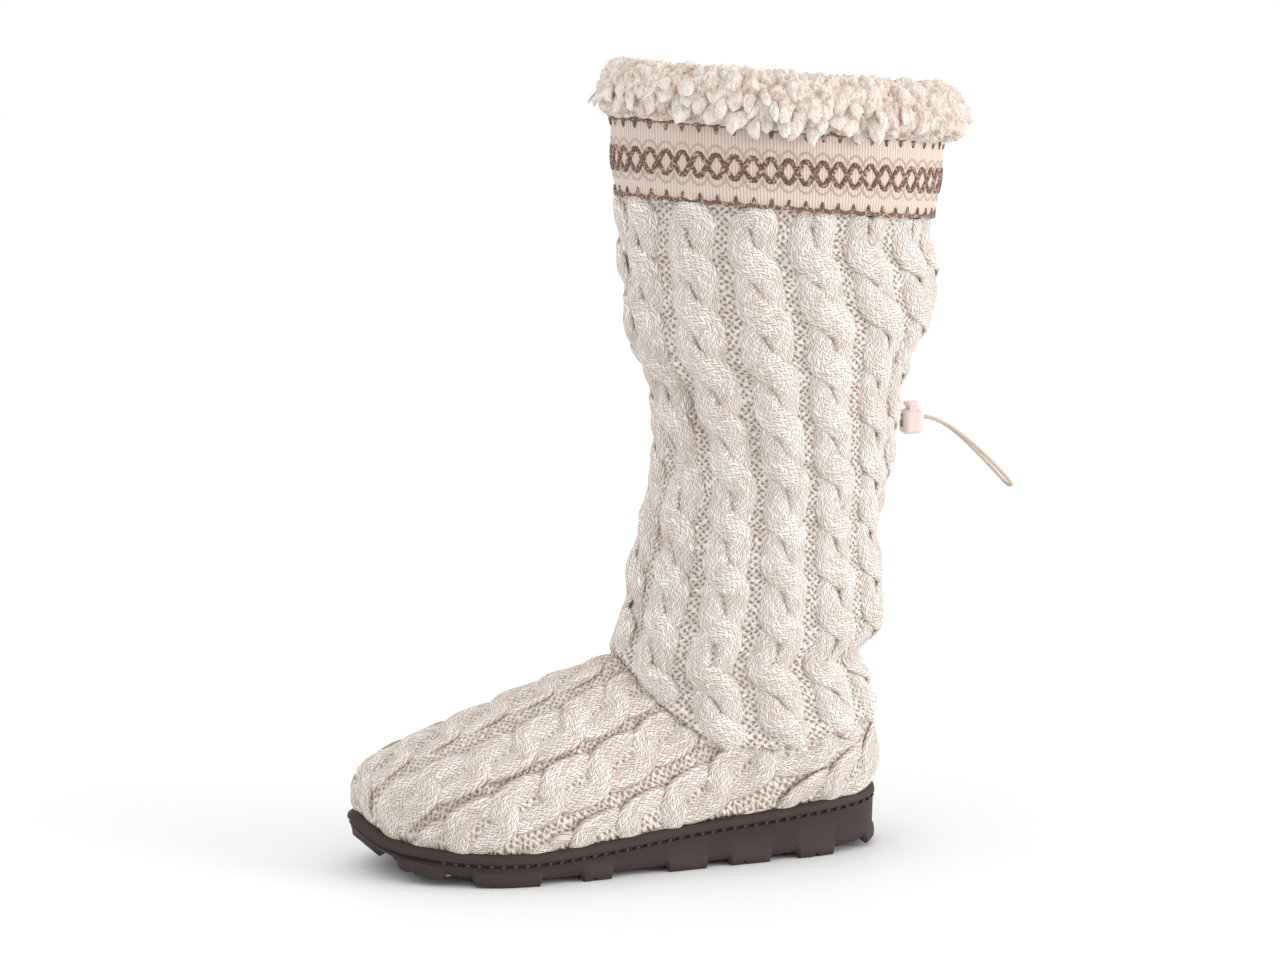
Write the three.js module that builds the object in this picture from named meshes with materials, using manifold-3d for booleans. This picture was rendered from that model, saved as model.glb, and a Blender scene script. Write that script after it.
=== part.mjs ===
// Slipper boot for the left foot: a knitted foot and slouch shaft on a lugged rubber sole,
// with a patterned band, a fleece cuff and a drawcord with a spring cord lock at the back.
// Sizes are in millimetres. +X points to the toe, measured from the back of the heel,
// +Y to the outer side of the foot and +Z up from the floor.
import * as THREE from 'three';
import { mergeVertices } from 'three/addons/utils/BufferGeometryUtils.js';
import Module from 'manifold-3d';

const wasm = await Module();
wasm.setup();

// Driving sizes of the last and the sole
const SOLE_LENGTH = 261.5;
const BALL_WIDTH = 95;
const SEAM_GAP = 0.3;

// Half-breadths of the sole at stations from heel to toe.
// along is a share of the length, outer and inner are shares of the ball width.
const SOLE_STATIONS = [
  { along: 0.012, outer: 0.125, inner: 0.125 },
  { along: 0.036, outer: 0.2, inner: 0.2 },
  { along: 0.075, outer: 0.255, inner: 0.255 },
  { along: 0.13, outer: 0.3, inner: 0.3 },
  { along: 0.23, outer: 0.343, inner: 0.335 },
  { along: 0.36, outer: 0.38, inner: 0.34 },
  { along: 0.49, outer: 0.424, inner: 0.38 },
  { along: 0.6, outer: 0.468, inner: 0.45 },
  { along: 0.7, outer: 0.495, inner: 0.5 },
  { along: 0.78, outer: 0.473, inner: 0.503 },
  { along: 0.85, outer: 0.407, inner: 0.475 },
  { along: 0.92, outer: 0.28, inner: 0.405 },
  { along: 0.97, outer: 0.115, inner: 0.29 },
];
const TOE_SIDE_SHIFT = -9;

// Side view of the sole: tread is the underside of the lugs, feather the top of the rim.
const SOLE_SIDE = [
  { x: 0, tread: 3.5, feather: 31 },
  { x: 10, tread: 1.6, feather: 30 },
  { x: 20, tread: 0.5, feather: 29 },
  { x: 30, tread: 0, feather: 28.2 },
  { x: 60, tread: 0, feather: 25.8 },
  { x: 104, tread: 0, feather: 22.7 },
  { x: 142, tread: 0, feather: 18.8 },
  { x: 177, tread: 0, feather: 16.2 },
  { x: 196, tread: 0, feather: 15.9 },
  { x: 214, tread: 1.4, feather: 16.7 },
  { x: 230, tread: 3.4, feather: 17.9 },
  { x: 245, tread: 5.9, feather: 20 },
  { x: 254, tread: 8.3, feather: 23.4 },
  { x: 262, tread: 12, feather: 30 },
];

// Rubber sole
const SOLE_POINTS = 52;
const LUG_DEPTH = 3;
const RIM_HEIGHT = 5;
const GROOVE_HEIGHT = 1.2;
const RECESS_DEPTH = 3;
const RIM_WIDTH = 3.2;
const LUG_RAMP = 2.4;
const NOTCH_DEPTH = 1.3;
const NOTCH_WIDTH = 2;
const LUGS = [
  { from: -5, to: 10 },
  { from: 27.5, to: 49, notch: 38.5 },
  { from: 62, to: 85, notch: 77 },
  { from: 95, to: 117 },
  { from: 144, to: 161, notch: 154 },
  { from: 180, to: 214 },
  { from: 226, to: 247, notch: 240 },
  { from: 254, to: 270 },
];
// The wall between lugs, from the underside up: inset from the outline, and the height of
// each step above the tread or below the feather line.
const SOLE_WALL = [
  { inset: 2.2, aboveTread: LUG_DEPTH },
  { inset: 1.2, aboveTread: LUG_DEPTH + 1 },
  { inset: 0.5, belowFeather: RIM_HEIGHT + GROOVE_HEIGHT },
  { inset: 1.7, belowFeather: RIM_HEIGHT + GROOVE_HEIGHT - 0.2 },
  { inset: 1.7, belowFeather: RIM_HEIGHT },
  { inset: 0.2, belowFeather: RIM_HEIGHT - 0.3 },
  { inset: 0.3, belowFeather: 2.2 },
  { inset: 1.4, belowFeather: 0.5 },
  { inset: RIM_WIDTH - 0.5, belowFeather: 0 },
  { inset: RIM_WIDTH, belowFeather: 0.4 },
  { inset: RIM_WIDTH, belowFeather: RECESS_DEPTH },
];
// The face of a lug, which stands proud of that wall low down.
const LUG_WALL = [
  { inset: 0.9, aboveTread: 0 },
  { inset: 0, aboveTread: 1.2 },
  { inset: 0.2, aboveTread: 5 },
  { inset: 1.6, aboveTread: 7.5 },
];

// Knitted foot
const WALL = 3;
const TOE_BULGE = 3.6;
const HEEL_BULGE = 4.4;
const SIDE_BULGE = 3.2;
const STATION_DRIFT = 0.09;
const VAMP_START = 70;
const VAMP_FULL = 180;
const VAMP_FULLNESS = 0.3;
// From the sole's rim to the ankle seam: how far each level has run in and climbed over the vamp.
const VAMP_LEVELS = [
  { run: 0, climb: 0 },
  { run: -0.012, climb: 0.1 },
  { run: -0.008, climb: 0.19 },
  { run: 0.012, climb: 0.275 },
  { run: 0.055, climb: 0.345 },
  { run: 0.14, climb: 0.43 },
  { run: 0.3, climb: 0.545 },
  { run: 0.52, climb: 0.69 },
  { run: 0.76, climb: 0.845 },
  { run: 1, climb: 1 },
];

// Ankle seam: its height at the sides, and the rise from there to the instep and to the heel
const SEAM_SIDE_HEIGHT = 59;
const SEAM_INSTEP_RISE = 45;
const SEAM_HEEL_RISE = 11;
const SEAM_INSTEP_CURVE = 2.7;
const SEAM_HEEL_CURVE = 1.5;
const SEAM_TUCK = 2;

// Slouch shaft: outline over the cables, a row for each fold and waist.
// back and front are read along the foot, half is the half-breadth across it.
const SHAFT_SECTIONS = [
  { z: 54, back: -2, front: 131, half: 38 },
  { z: 70, back: -0.5, front: 131, half: 38.5 },
  { z: 84, back: 4, front: 131.5, half: 39.5 },
  { z: 97, back: 8.5, front: 133.5, half: 41 },
  { z: 108, back: 0.2, front: 133.5, half: 42.5 },
  { z: 120, back: -3.1, front: 129, half: 44 },
  { z: 138, back: -2.9, front: 126.2, half: 45 },
  { z: 157, back: 0.5, front: 122, half: 46 },
  { z: 180, back: -3.9, front: 116, half: 46.5 },
  { z: 194, back: -6.6, front: 112.5, half: 47 },
  { z: 215, back: -9.1, front: 113, half: 48 },
  { z: 232, back: -11.6, front: 114.8, half: 49.5 },
  { z: 246, back: -16.5, front: 121, half: 52 },
  { z: 256, back: -22.6, front: 125.5, half: 54 },
  { z: 270, back: -27, front: 126, half: 55.5 },
  { z: 284, back: -27.8, front: 128.5, half: 56 },
  { z: 300, back: -24, front: 129.5, half: 57 },
  { z: 320, back: -28, front: 131, half: 57 },
  { z: 340, back: -30.5, front: 133.5, half: 57.5 },
  { z: 395, back: -32.5, front: 134.5, half: 57.5 },
];
const ARC_SPREAD = 0.08;
const CABLES = 14;
const COLUMNS_PER_CABLE = 3;
const SHAFT_POINTS = CABLES * COLUMNS_PER_CABLE;
const SHAFT_ROWS = 15;
const CABLE_DEPTH = 3;
const STRAND_DIP = 1.3;
const KNIT_INSIDE = 5.5;

// Patterned band round the top of the shaft, and the slope of the collar towards the heel
const BAND_TOP = 355;
const BAND_HEIGHT = 38;
const BAND_THICKNESS = 2;
const COLLAR_RISE = 6.3;

// Fleece cuff folded over the collar: one section of it, from its outer hem over the top and in.
// out is the distance outside the band, and swell how much of the overhang is added to it.
const CUFF_OVERHANG_FRONT = 2;
const CUFF_OVERHANG_BACK = 8;
const CUFF_SECTION = [
  { out: 1.2, swell: 0.6, rise: -5 },
  { out: 1.5, swell: 1, rise: 3 },
  { out: 1.5, swell: 1, rise: 14 },
  { out: -0.5, swell: 0.8, rise: 23 },
  { out: -6, swell: 0.2, rise: 27.5 },
  { out: -12, swell: 0, rise: 24 },
  { out: -15, swell: 0, rise: 10 },
  { out: -14, swell: 0, rise: -8 },
  { out: -10, swell: 0, rise: -12 },
  { out: -6, swell: 0, rise: -11 },
];
// Slot in the cuff for the top of the shaft and band
const CUFF_SLOT = [
  { out: 0.4, swell: 0, rise: -15 },
  { out: 0.4, swell: 0, rise: 0.4 },
  { out: -6.4, swell: 0, rise: 0.4 },
  { out: -6.4, swell: 0, rise: -15 },
];
// Locks of fleece, row by row: droop tips them down, stretch makes every other one longer
const LOCK_ROWS = [
  { row: 1, turn: 0, droop: -0.8, stretch: 1.3 },
  { row: 2, turn: 0.5, droop: -0.4, stretch: 1 },
  { row: 3, turn: 0, droop: 0.6, stretch: 1.3 },
];
const LOCKS_ROUND = 16;
const LOCK_RADIUS = 7.5;
const LOCK_LENGTH = 5.5;
const LOCK_SINK = 3;
const LOCK_SIDES = 4;

// Insole
const INSOLE_THICKNESS = 4;

// Cord lock behind the shaft: a barrel with a spring button, and the cord through both
const LOCK_HEIGHT = 209.8;
const BARREL = { length: 11, breadth: 9.6, height: 12, bevel: 1.4, corner: 1.8 };
const CORD_DIAMETER = 1.8;
const STRAND_OFFSET = 1.15;
const STRAND_LIFT = 2.1;
const BORE_LOW = -2.5;
const BORE_HIGH = 3.5;
const BORE_BREADTH = 2 * STRAND_OFFSET + CORD_DIAMETER + 2 * SEAM_GAP;
const STEM = { length: 4.2, breadth: 6.7, low: -3.4 };
const STEM_HOLE_LOW = 0.8;
const STEM_HOLE_HIGH = 5;
const CAVITY_LOW = -5.2;
const BUTTON_GAP = 1.5;
const BARREL_STANDOFF = 4.5;
const BUTTON_CAP = { length: 7.4, breadth: 8.2, height: 2.4, bevel: 0.6, corner: 1.5 };
// Route of one strand of the drawcord from the knit to where the loop turns back
const CORD_ROUTE = [
  { x: -12, y: 1.15, z: 211.9 },
  { x: -18, y: 1.15, z: 211.9 },
  { x: -24.1, y: 1.15, z: 211.9 },
  { x: -29.4, y: 1.3, z: 210.9 },
  { x: -34.6, y: 1.6, z: 208.6 },
  { x: -39.7, y: 2, z: 205.5 },
  { x: -44.6, y: 2.4, z: 201.8 },
  { x: -51, y: 2.9, z: 196.3 },
  { x: -57.3, y: 3.3, z: 190.4 },
  { x: -63.2, y: 3.6, z: 184.5 },
  { x: -68.9, y: 3.6, z: 178.5 },
];
const LOOP_RADIUS = 3.6;
const LOOP_DIRECTION = new THREE.Vector3(-0.7, 0, -0.714);
const LOOP_TURN_POINTS = 5;
const CORD_STEPS = 36;

// Points of a mesh that lie closer than this are one point.
const MERGE_DISTANCE = 1e-4;

// Colour and roughness of each piece
const FINISHES = {
  outsole: { color: 0x45393a, roughness: 0.6 },
  insole: { color: 0xe6dccd, roughness: 0.95 },
  upper: { color: 0xd9cbbf, roughness: 0.95 },
  shaft: { color: 0xded1c6, roughness: 0.95 },
  band: { color: 0xd8c4b2, roughness: 0.9 },
  fleece_cuff: { color: 0xe6d8c8, roughness: 1 },
  cord_lock_barrel: { color: 0xe4d6d0, roughness: 0.4 },
  cord_lock_button: { color: 0xe8dbd4, roughness: 0.4 },
  drawcord: { color: 0xdccbb9, roughness: 0.8 },
};

// Smooth curve through one column of a table, read at a value of its first column.
// It stays level at a row that turns or ends a flat run, so flat runs are flat.
function curveThrough(rows, key, column) {
  const slopes = rows.map((row, i) => {
    const before = rows[Math.max(i - 1, 0)];
    const after = rows[Math.min(i + 1, rows.length - 1)];
    const atEnd = before === row || after === row;
    const level = (after[column] - row[column]) * (row[column] - before[column]) <= 0;
    return level && !atEnd ? 0 : (after[column] - before[column]) / (after[key] - before[key]);
  });
  return (value) => {
    const last = rows.length - 2;
    let i = 0;
    while (i < last && value > rows[i + 1][key]) i += 1;
    const span = rows[i + 1][key] - rows[i][key];
    const t = THREE.MathUtils.clamp((value - rows[i][key]) / span, 0, 1);
    const low = rows[i][column] * (1 + 2 * t) * (1 - t) ** 2 + slopes[i] * span * t * (1 - t) ** 2;
    const high = rows[i + 1][column] * (3 - 2 * t) * t ** 2 - slopes[i + 1] * span * (1 - t) * t ** 2;
    return low + high;
  };
}

const treadHeight = curveThrough(SOLE_SIDE, 'x', 'tread');
const featherHeight = curveThrough(SOLE_SIDE, 'x', 'feather');
const shaftBack = curveThrough(SHAFT_SECTIONS, 'z', 'back');
const shaftFront = curveThrough(SHAFT_SECTIONS, 'z', 'front');
const shaftHalf = curveThrough(SHAFT_SECTIONS, 'z', 'half');
const lerp = THREE.MathUtils.lerp;

// A closed geometry over a stack of loops with equally many points, which run anticlockwise from above.
// A stack that closes on itself is a hollow wall, any other gets a lid across each end.
function loft(loops, closesOnItself) {
  const count = loops[0].length;
  const positions = loops.flat().flatMap((p) => [p.x, p.y, p.z]);
  const faces = [];
  const bands = closesOnItself ? loops.length : loops.length - 1;
  for (let k = 0; k < bands; k += 1) {
    const low = k * count;
    const high = ((k + 1) % loops.length) * count;
    for (let i = 0; i < count; i += 1) {
      const next = (i + 1) % count;
      faces.push(low + i, low + next, high + next, low + i, high + next, high + i);
    }
  }
  if (!closesOnItself) {
    const top = (loops.length - 1) * count;
    for (let i = 0; i < count / 2; i += 1) {
      const near = [i, i + 1, count - i - 1];
      const far = [i, count - i - 1, (count - i) % count];
      for (const [a, b, c] of [near, far]) {
        if (a === b || b === c || a === c) continue;
        faces.push(top + a, top + b, top + c);
        faces.push(a, c, b);
      }
    }
  }
  const geometry = new THREE.BufferGeometry();
  geometry.setAttribute('position', new THREE.Float32BufferAttribute(positions, 3));
  geometry.setIndex(faces);
  return geometry;
}

// Solids for joining and cutting
function solidOf(geometry) {
  const bare = geometry.clone();
  bare.deleteAttribute('normal');
  bare.deleteAttribute('uv');
  const merged = mergeVertices(bare, MERGE_DISTANCE);
  const vertProperties = new Float32Array(merged.attributes.position.array);
  const triVerts = new Uint32Array(merged.index.array);
  return new wasm.Manifold(new wasm.Mesh({ numProp: 3, vertProperties, triVerts }));
}

function geometryOf(solid) {
  const mesh = solid.getMesh();
  const geometry = new THREE.BufferGeometry();
  geometry.setAttribute('position', new THREE.Float32BufferAttribute(mesh.vertProperties, 3));
  geometry.setIndex(Array.from(mesh.triVerts));
  return geometry;
}

function named(name, geometry) {
  geometry.computeVertexNormals();
  const material = new THREE.MeshStandardMaterial({ ...FINISHES[name], metalness: 0 });
  const mesh = new THREE.Mesh(geometry, material);
  mesh.name = name;
  return mesh;
}

// Plan of the sole, from the back of the heel round the inner side to the toe and back
const soleCurve = new THREE.CatmullRomCurve3(
  [
    new THREE.Vector3(0, 0, 0),
    ...SOLE_STATIONS.map((s) => new THREE.Vector3(s.along * SOLE_LENGTH, -s.inner * BALL_WIDTH, 0)),
    new THREE.Vector3(SOLE_LENGTH, TOE_SIDE_SHIFT, 0),
    ...SOLE_STATIONS.map((s) => new THREE.Vector3(s.along * SOLE_LENGTH, s.outer * BALL_WIDTH, 0)).reverse(),
  ],
  true,
  'centripetal',
);

function soleLoop(count, inset) {
  const points = soleCurve.getSpacedPoints(count).slice(0, count);
  return points.map((p, i) => {
    const before = points[(i + count - 1) % count];
    const after = points[(i + 1) % count];
    const along = after.clone().sub(before).normalize();
    return new THREE.Vector3(p.x - along.y * inset, p.y + along.x * inset, 0);
  });
}

function wallLoop({ inset, aboveTread, belowFeather }) {
  return soleLoop(SOLE_POINTS, inset).map((p) => {
    const height = aboveTread === undefined
      ? featherHeight(p.x) - belowFeather
      : treadHeight(p.x) + aboveTread;
    return new THREE.Vector3(p.x, p.y, height);
  });
}

// A bar across the sole whose ends ramp in below its knee
function crossBar({ from, to, low, knee, high, ramp }) {
  const side = new THREE.Shape();
  side.moveTo(from + ramp, low);
  side.lineTo(to - ramp, low);
  side.lineTo(to, knee);
  side.lineTo(to, high);
  side.lineTo(from, high);
  side.lineTo(from, knee);
  const bar = new THREE.ExtrudeGeometry(side, { depth: 2 * BALL_WIDTH, bevelEnabled: false });
  bar.rotateX(Math.PI / 2);
  bar.translate(0, BALL_WIDTH, 0);
  return solidOf(bar);
}

function outsole() {
  const block = solidOf(loft(LUG_WALL.map(wallLoop), false));
  let sole = solidOf(loft(SOLE_WALL.map(wallLoop), false));
  for (const { from, to, notch } of LUGS) {
    const floor = treadHeight((from + to) / 2);
    const low = floor - LUG_DEPTH;
    const knee = floor + LUG_DEPTH;
    const high = knee + BALL_WIDTH;
    let lug = block.intersect(crossBar({ from, to, low, knee, high, ramp: LUG_RAMP }));
    if (notch !== undefined) {
      const half = NOTCH_WIDTH / 2;
      const roof = treadHeight(notch) + NOTCH_DEPTH;
      const slit = { from: notch - half, to: notch + half, low, knee: floor, high: roof, ramp: -half };
      lug = lug.subtract(crossBar(slit));
    }
    sole = sole.add(lug);
  }
  return named('outsole', geometryOf(sole));
}

function insole() {
  const inset = RIM_WIDTH + WALL + 3 * SEAM_GAP;
  const low = SEAM_GAP - RECESS_DEPTH;
  const level = (rise) => soleLoop(SOLE_POINTS, inset).map(
    (p) => new THREE.Vector3(p.x, p.y, featherHeight(p.x) + rise),
  );
  return named('insole', loft([level(low), level(low + INSOLE_THICKNESS)], false));
}

// Shaft surface: angle is turned from the toe towards the outer side, offset is outwards.
function shaftPoint(angle, z, offset) {
  const halfLength = (shaftFront(z) - shaftBack(z)) / 2;
  const centre = (shaftFront(z) + shaftBack(z)) / 2;
  const half = shaftHalf(z);
  const outward = new THREE.Vector2(Math.cos(angle) * half, Math.sin(angle) * halfLength).normalize();
  return new THREE.Vector3(
    centre + Math.cos(angle) * halfLength + outward.x * offset,
    Math.sin(angle) * half + outward.y * offset,
    z,
  );
}

// Angle at a share of the way round, from the back over the inner side, evenly along the knit
function angleAt(share) {
  const turn = Math.PI + 2 * Math.PI * share;
  return turn + ARC_SPREAD * Math.sin(2 * turn);
}

function seamHeight(angle) {
  const forward = Math.max(Math.cos(angle), 0) ** SEAM_INSTEP_CURVE;
  const backward = Math.max(-Math.cos(angle), 0) ** SEAM_HEEL_CURVE;
  return SEAM_SIDE_HEIGHT + SEAM_INSTEP_RISE * forward + SEAM_HEEL_RISE * backward;
}

function collarHeight(angle) {
  return BAND_TOP + COLLAR_RISE * Math.cos(angle);
}

function ring(heightAt, offset) {
  return Array.from({ length: SHAFT_POINTS }, (_, i) => {
    const angle = angleAt(i / SHAFT_POINTS);
    const outwards = typeof offset === 'function' ? offset(angle, i) : offset;
    return shaftPoint(angle, heightAt(angle), outwards);
  });
}

// Edge of the foot under the shaft's hem, in the stations of the foot
function ankleEdge(offset) {
  const hem = ring((angle) => seamHeight(angle) - 2 * SEAM_GAP, offset);
  return Array.from({ length: SOLE_POINTS }, (_, i) => {
    const share = i / SOLE_POINTS;
    const place = (share + STATION_DRIFT * Math.sin(2 * Math.PI * share)) * SHAFT_POINTS;
    const before = Math.floor(place);
    return hem[before % SHAFT_POINTS].clone().lerp(hem[(before + 1) % SHAFT_POINTS], place - before);
  });
}

// Knitted foot: levels that rise from the rim of the sole to the ankle seam
function footLevels() {
  const feather = soleLoop(SOLE_POINTS, RIM_WIDTH + SEAM_GAP);
  const outline = soleLoop(SOLE_POINTS, 0);
  const ankle = ankleEdge(-SEAM_TUCK);
  return VAMP_LEVELS.map(({ run, climb }, k) => feather.map((start, i) => {
    const end = ankle[i];
    const even = k / (VAMP_LEVELS.length - 1);
    const forward = THREE.MathUtils.smoothstep(start.x, VAMP_START, VAMP_FULL);
    const sideways = Math.abs(Math.sin((2 * Math.PI * i) / SOLE_POINTS));
    const rise = lerp(even, climb ** (1 - VAMP_FULLNESS * sideways), forward);
    const inwards = lerp(even, run, forward);
    const heel = lerp(SIDE_BULGE, HEEL_BULGE, Math.max(0, 1 - start.x / VAMP_START));
    const bulge = lerp(heel, TOE_BULGE, forward) * Math.sin(Math.PI * Math.sqrt(rise));
    const outward = outline[i].clone().sub(start).normalize().multiplyScalar(bulge);
    return new THREE.Vector3(
      lerp(start.x, end.x, inwards) + outward.x,
      lerp(start.y, end.y, inwards) + outward.y,
      lerp(featherHeight(start.x) + SEAM_GAP, end.z, rise),
    );
  }));
}

// The hem below the rim, where the foot stands in the recess of the sole
function hemOf(loop) {
  const floor = SEAM_GAP - RECESS_DEPTH;
  return loop.map((p) => new THREE.Vector3(p.x, p.y, featherHeight(p.x) + floor));
}

// The same levels moved in by the thickness of the wall
function insideOf(levels, thickness) {
  const count = levels[0].length;
  return levels.map((loop, k) => loop.map((p, i) => {
    const below = levels[Math.max(k - 1, 0)][i];
    const above = levels[Math.min(k + 1, levels.length - 1)][i];
    const round = loop[(i + 1) % count].clone().sub(loop[(i + count - 1) % count]);
    const normal = round.cross(above.clone().sub(below)).normalize();
    return p.clone().addScaledVector(normal, -thickness);
  }));
}

function upper() {
  const outside = footLevels();
  const inside = insideOf(outside, WALL);
  inside[0] = soleLoop(SOLE_POINTS, RIM_WIDTH + SEAM_GAP + WALL).map(
    (p) => new THREE.Vector3(p.x, p.y, featherHeight(p.x) + SEAM_GAP),
  );
  inside[inside.length - 1] = ankleEdge(-SEAM_TUCK - WALL);
  const wall = [hemOf(outside[0]), ...outside, ...inside.toReversed(), hemOf(inside[0])];
  return named('upper', loft(wall, true));
}

// Knitted shaft: cables stand up between narrow grooves, their two strands over and under by turns
function shaft() {
  const bandLow = (angle) => collarHeight(angle) - BAND_HEIGHT;
  const underBand = -BAND_THICKNESS - SEAM_GAP;
  const heightOf = (share) => (angle) => lerp(seamHeight(angle), bandLow(angle) - CABLE_DEPTH, share);
  const outside = [];
  const inside = [];
  for (let row = 0; row <= SHAFT_ROWS; row += 1) {
    const height = heightOf(row / SHAFT_ROWS);
    const cable = (angle, i) => {
      const column = i % COLUMNS_PER_CABLE;
      if (column === 0) return -CABLE_DEPTH;
      return (row + column) % 2 === 0 ? 0 : -STRAND_DIP;
    };
    outside.push(ring(height, row === 0 ? -SEAM_TUCK : cable));
    inside.push(ring(height, row === 0 ? -SEAM_TUCK - WALL : -KNIT_INSIDE));
  }
  outside.push(ring((angle) => bandLow(angle) - SEAM_GAP, underBand));
  outside.push(ring(collarHeight, underBand));
  inside.push(ring(collarHeight, -KNIT_INSIDE));
  return named('shaft', loft([...outside, ...inside.reverse()], true));
}

function band() {
  const low = (angle) => collarHeight(angle) - BAND_HEIGHT;
  const loops = [ring(low, 0), ring(collarHeight, 0)];
  loops.push(ring(collarHeight, -BAND_THICKNESS), ring(low, -BAND_THICKNESS));
  return named('band', loft(loops, true));
}

// Fleece cuff with locks fused to its outer face
function cuffPoint(angle, { out, swell, rise }) {
  const overhang = lerp(CUFF_OVERHANG_FRONT, CUFF_OVERHANG_BACK, (1 - Math.cos(angle)) / 2);
  return shaftPoint(angle, collarHeight(angle) + rise, out + swell * overhang);
}

function cuffRing(section) {
  const loops = section.map(
    (row) => Array.from({ length: SHAFT_POINTS }, (_, i) => cuffPoint(angleAt(i / SHAFT_POINTS), row)),
  );
  return solidOf(loft(loops, true));
}

function fleeceCuff() {
  let cuff = cuffRing(CUFF_SECTION);
  const up = new THREE.Vector3(0, 1, 0);
  for (const { row, turn, droop, stretch } of LOCK_ROWS) {
    for (let i = 0; i < LOCKS_ROUND; i += 1) {
      const length = LOCK_SINK + LOCK_LENGTH * (i % 2 === 0 ? 1 : stretch);
      const lock = new THREE.ConeGeometry(LOCK_RADIUS, length, LOCK_SIDES);
      const angle = angleAt((i + turn) / LOCKS_ROUND);
      const root = cuffPoint(angle, CUFF_SECTION[row]);
      const away = new THREE.Vector3(Math.cos(angle), Math.sin(angle), droop).normalize();
      lock.translate(0, length / 2 - LOCK_SINK, 0);
      lock.applyQuaternion(new THREE.Quaternion().setFromUnitVectors(up, away));
      lock.translate(root.x, root.y, root.z);
      cuff = cuff.add(solidOf(lock));
    }
  }
  cuff = cuff.subtract(cuffRing(CUFF_SLOT));
  return named('fleece_cuff', geometryOf(cuff));
}

// Cord lock
function roundedBlock({ length, breadth, height, bevel, corner }) {
  const halfLength = length / 2 - bevel;
  const halfBreadth = breadth / 2 - bevel;
  const plan = new THREE.Shape();
  plan.moveTo(-halfLength + corner, -halfBreadth);
  plan.lineTo(halfLength - corner, -halfBreadth);
  plan.absarc(halfLength - corner, -halfBreadth + corner, corner, -Math.PI / 2, 0);
  plan.lineTo(halfLength, halfBreadth - corner);
  plan.absarc(halfLength - corner, halfBreadth - corner, corner, 0, Math.PI / 2);
  plan.lineTo(-halfLength + corner, halfBreadth);
  plan.absarc(-halfLength + corner, halfBreadth - corner, corner, Math.PI / 2, Math.PI);
  plan.lineTo(-halfLength, -halfBreadth + corner);
  plan.absarc(-halfLength + corner, -halfBreadth + corner, corner, Math.PI, Math.PI * 1.5);
  const block = new THREE.ExtrudeGeometry(plan, {
    depth: height - 2 * bevel,
    bevelThickness: bevel,
    bevelSize: bevel,
    bevelSegments: 1,
    curveSegments: 2,
  });
  return block.translate(0, 0, bevel);
}

function boxBetween(length, breadth, low, high) {
  return new THREE.BoxGeometry(length, breadth, high - low).translate(0, 0, (low + high) / 2);
}

const lockX = shaftPoint(Math.PI, LOCK_HEIGHT, 0).x - BARREL.length / 2 - BARREL_STANDOFF;

function cordLockBarrel() {
  const top = BARREL.height / 2;
  const shell = solidOf(roundedBlock(BARREL).translate(0, 0, -top));
  const clear = 2 * SEAM_GAP;
  const cavity = boxBetween(STEM.length + clear, STEM.breadth + clear, CAVITY_LOW, top + BUTTON_GAP);
  const bore = boxBetween(2 * BARREL.length, BORE_BREADTH, BORE_LOW, BORE_HIGH);
  const barrel = shell.subtract(solidOf(cavity)).subtract(solidOf(bore));
  const mesh = named('cord_lock_barrel', geometryOf(barrel));
  mesh.position.set(lockX, 0, LOCK_HEIGHT);
  return mesh;
}

function cordLockButton() {
  const capLow = BARREL.height / 2 + BUTTON_GAP;
  const cap = solidOf(roundedBlock(BUTTON_CAP).translate(0, 0, capLow));
  const stem = solidOf(boxBetween(STEM.length, STEM.breadth, STEM.low, capLow + BUTTON_CAP.height / 2));
  const hole = solidOf(boxBetween(2 * STEM.length, BORE_BREADTH, STEM_HOLE_LOW, STEM_HOLE_HIGH));
  const mesh = named('cord_lock_button', geometryOf(cap.add(stem).subtract(hole)));
  mesh.position.set(lockX, 0, LOCK_HEIGHT);
  return mesh;
}

// Drawcord: out of the knit, through the lock, round the loop and back into the knit
function drawcord() {
  const grooveX = shaftPoint(Math.PI, CORD_ROUTE[0].z, -CABLE_DEPTH).x;
  const start = { ...CORD_ROUTE[0], x: grooveX - 2 * SEAM_GAP };
  const strand = [start, ...CORD_ROUTE].map((p) => new THREE.Vector3(p.x, p.y, p.z));
  const tip = CORD_ROUTE[CORD_ROUTE.length - 1];
  const turn = Array.from({ length: LOOP_TURN_POINTS }, (_, i) => {
    const bend = (Math.PI * (i + 1)) / (LOOP_TURN_POINTS + 1);
    const centre = new THREE.Vector3(tip.x, LOOP_RADIUS * Math.cos(bend), tip.z);
    return centre.addScaledVector(LOOP_DIRECTION, LOOP_RADIUS * Math.sin(bend));
  });
  const back = strand.map((p) => new THREE.Vector3(p.x, -p.y, p.z)).reverse();
  const route = new THREE.CatmullRomCurve3([...strand, ...turn, ...back]);
  const section = new THREE.Shape();
  section.absarc(0, 0, CORD_DIAMETER / 2, 0, 2 * Math.PI);
  const tube = new THREE.ExtrudeGeometry(section, {
    steps: CORD_STEPS,
    extrudePath: route,
    curveSegments: 4,
  });
  return named('drawcord', tube);
}

const lockAndCord = [cordLockBarrel(), cordLockButton(), drawcord()];
const boot = new THREE.Group();
boot.add(outsole(), insole(), upper(), shaft(), band(), fleeceCuff());
const extent = new THREE.Box3().setFromObject(boot);
const middle = extent.getCenter(new THREE.Vector3());
boot.add(...lockAndCord);
boot.position.set(-middle.x, -middle.y, -extent.min.z);

export default boot;
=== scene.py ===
# Slipper boot for the left foot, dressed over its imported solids.
# Shapes are worked out in millimetres from the back of the heel, +X to the toe, +Y to the outer side
# and +Z up. Pieces are made in metres, in the frame of the solids.
# A value with two numbers is a stretch over which something fades, where no comment says otherwise.
import math

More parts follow.
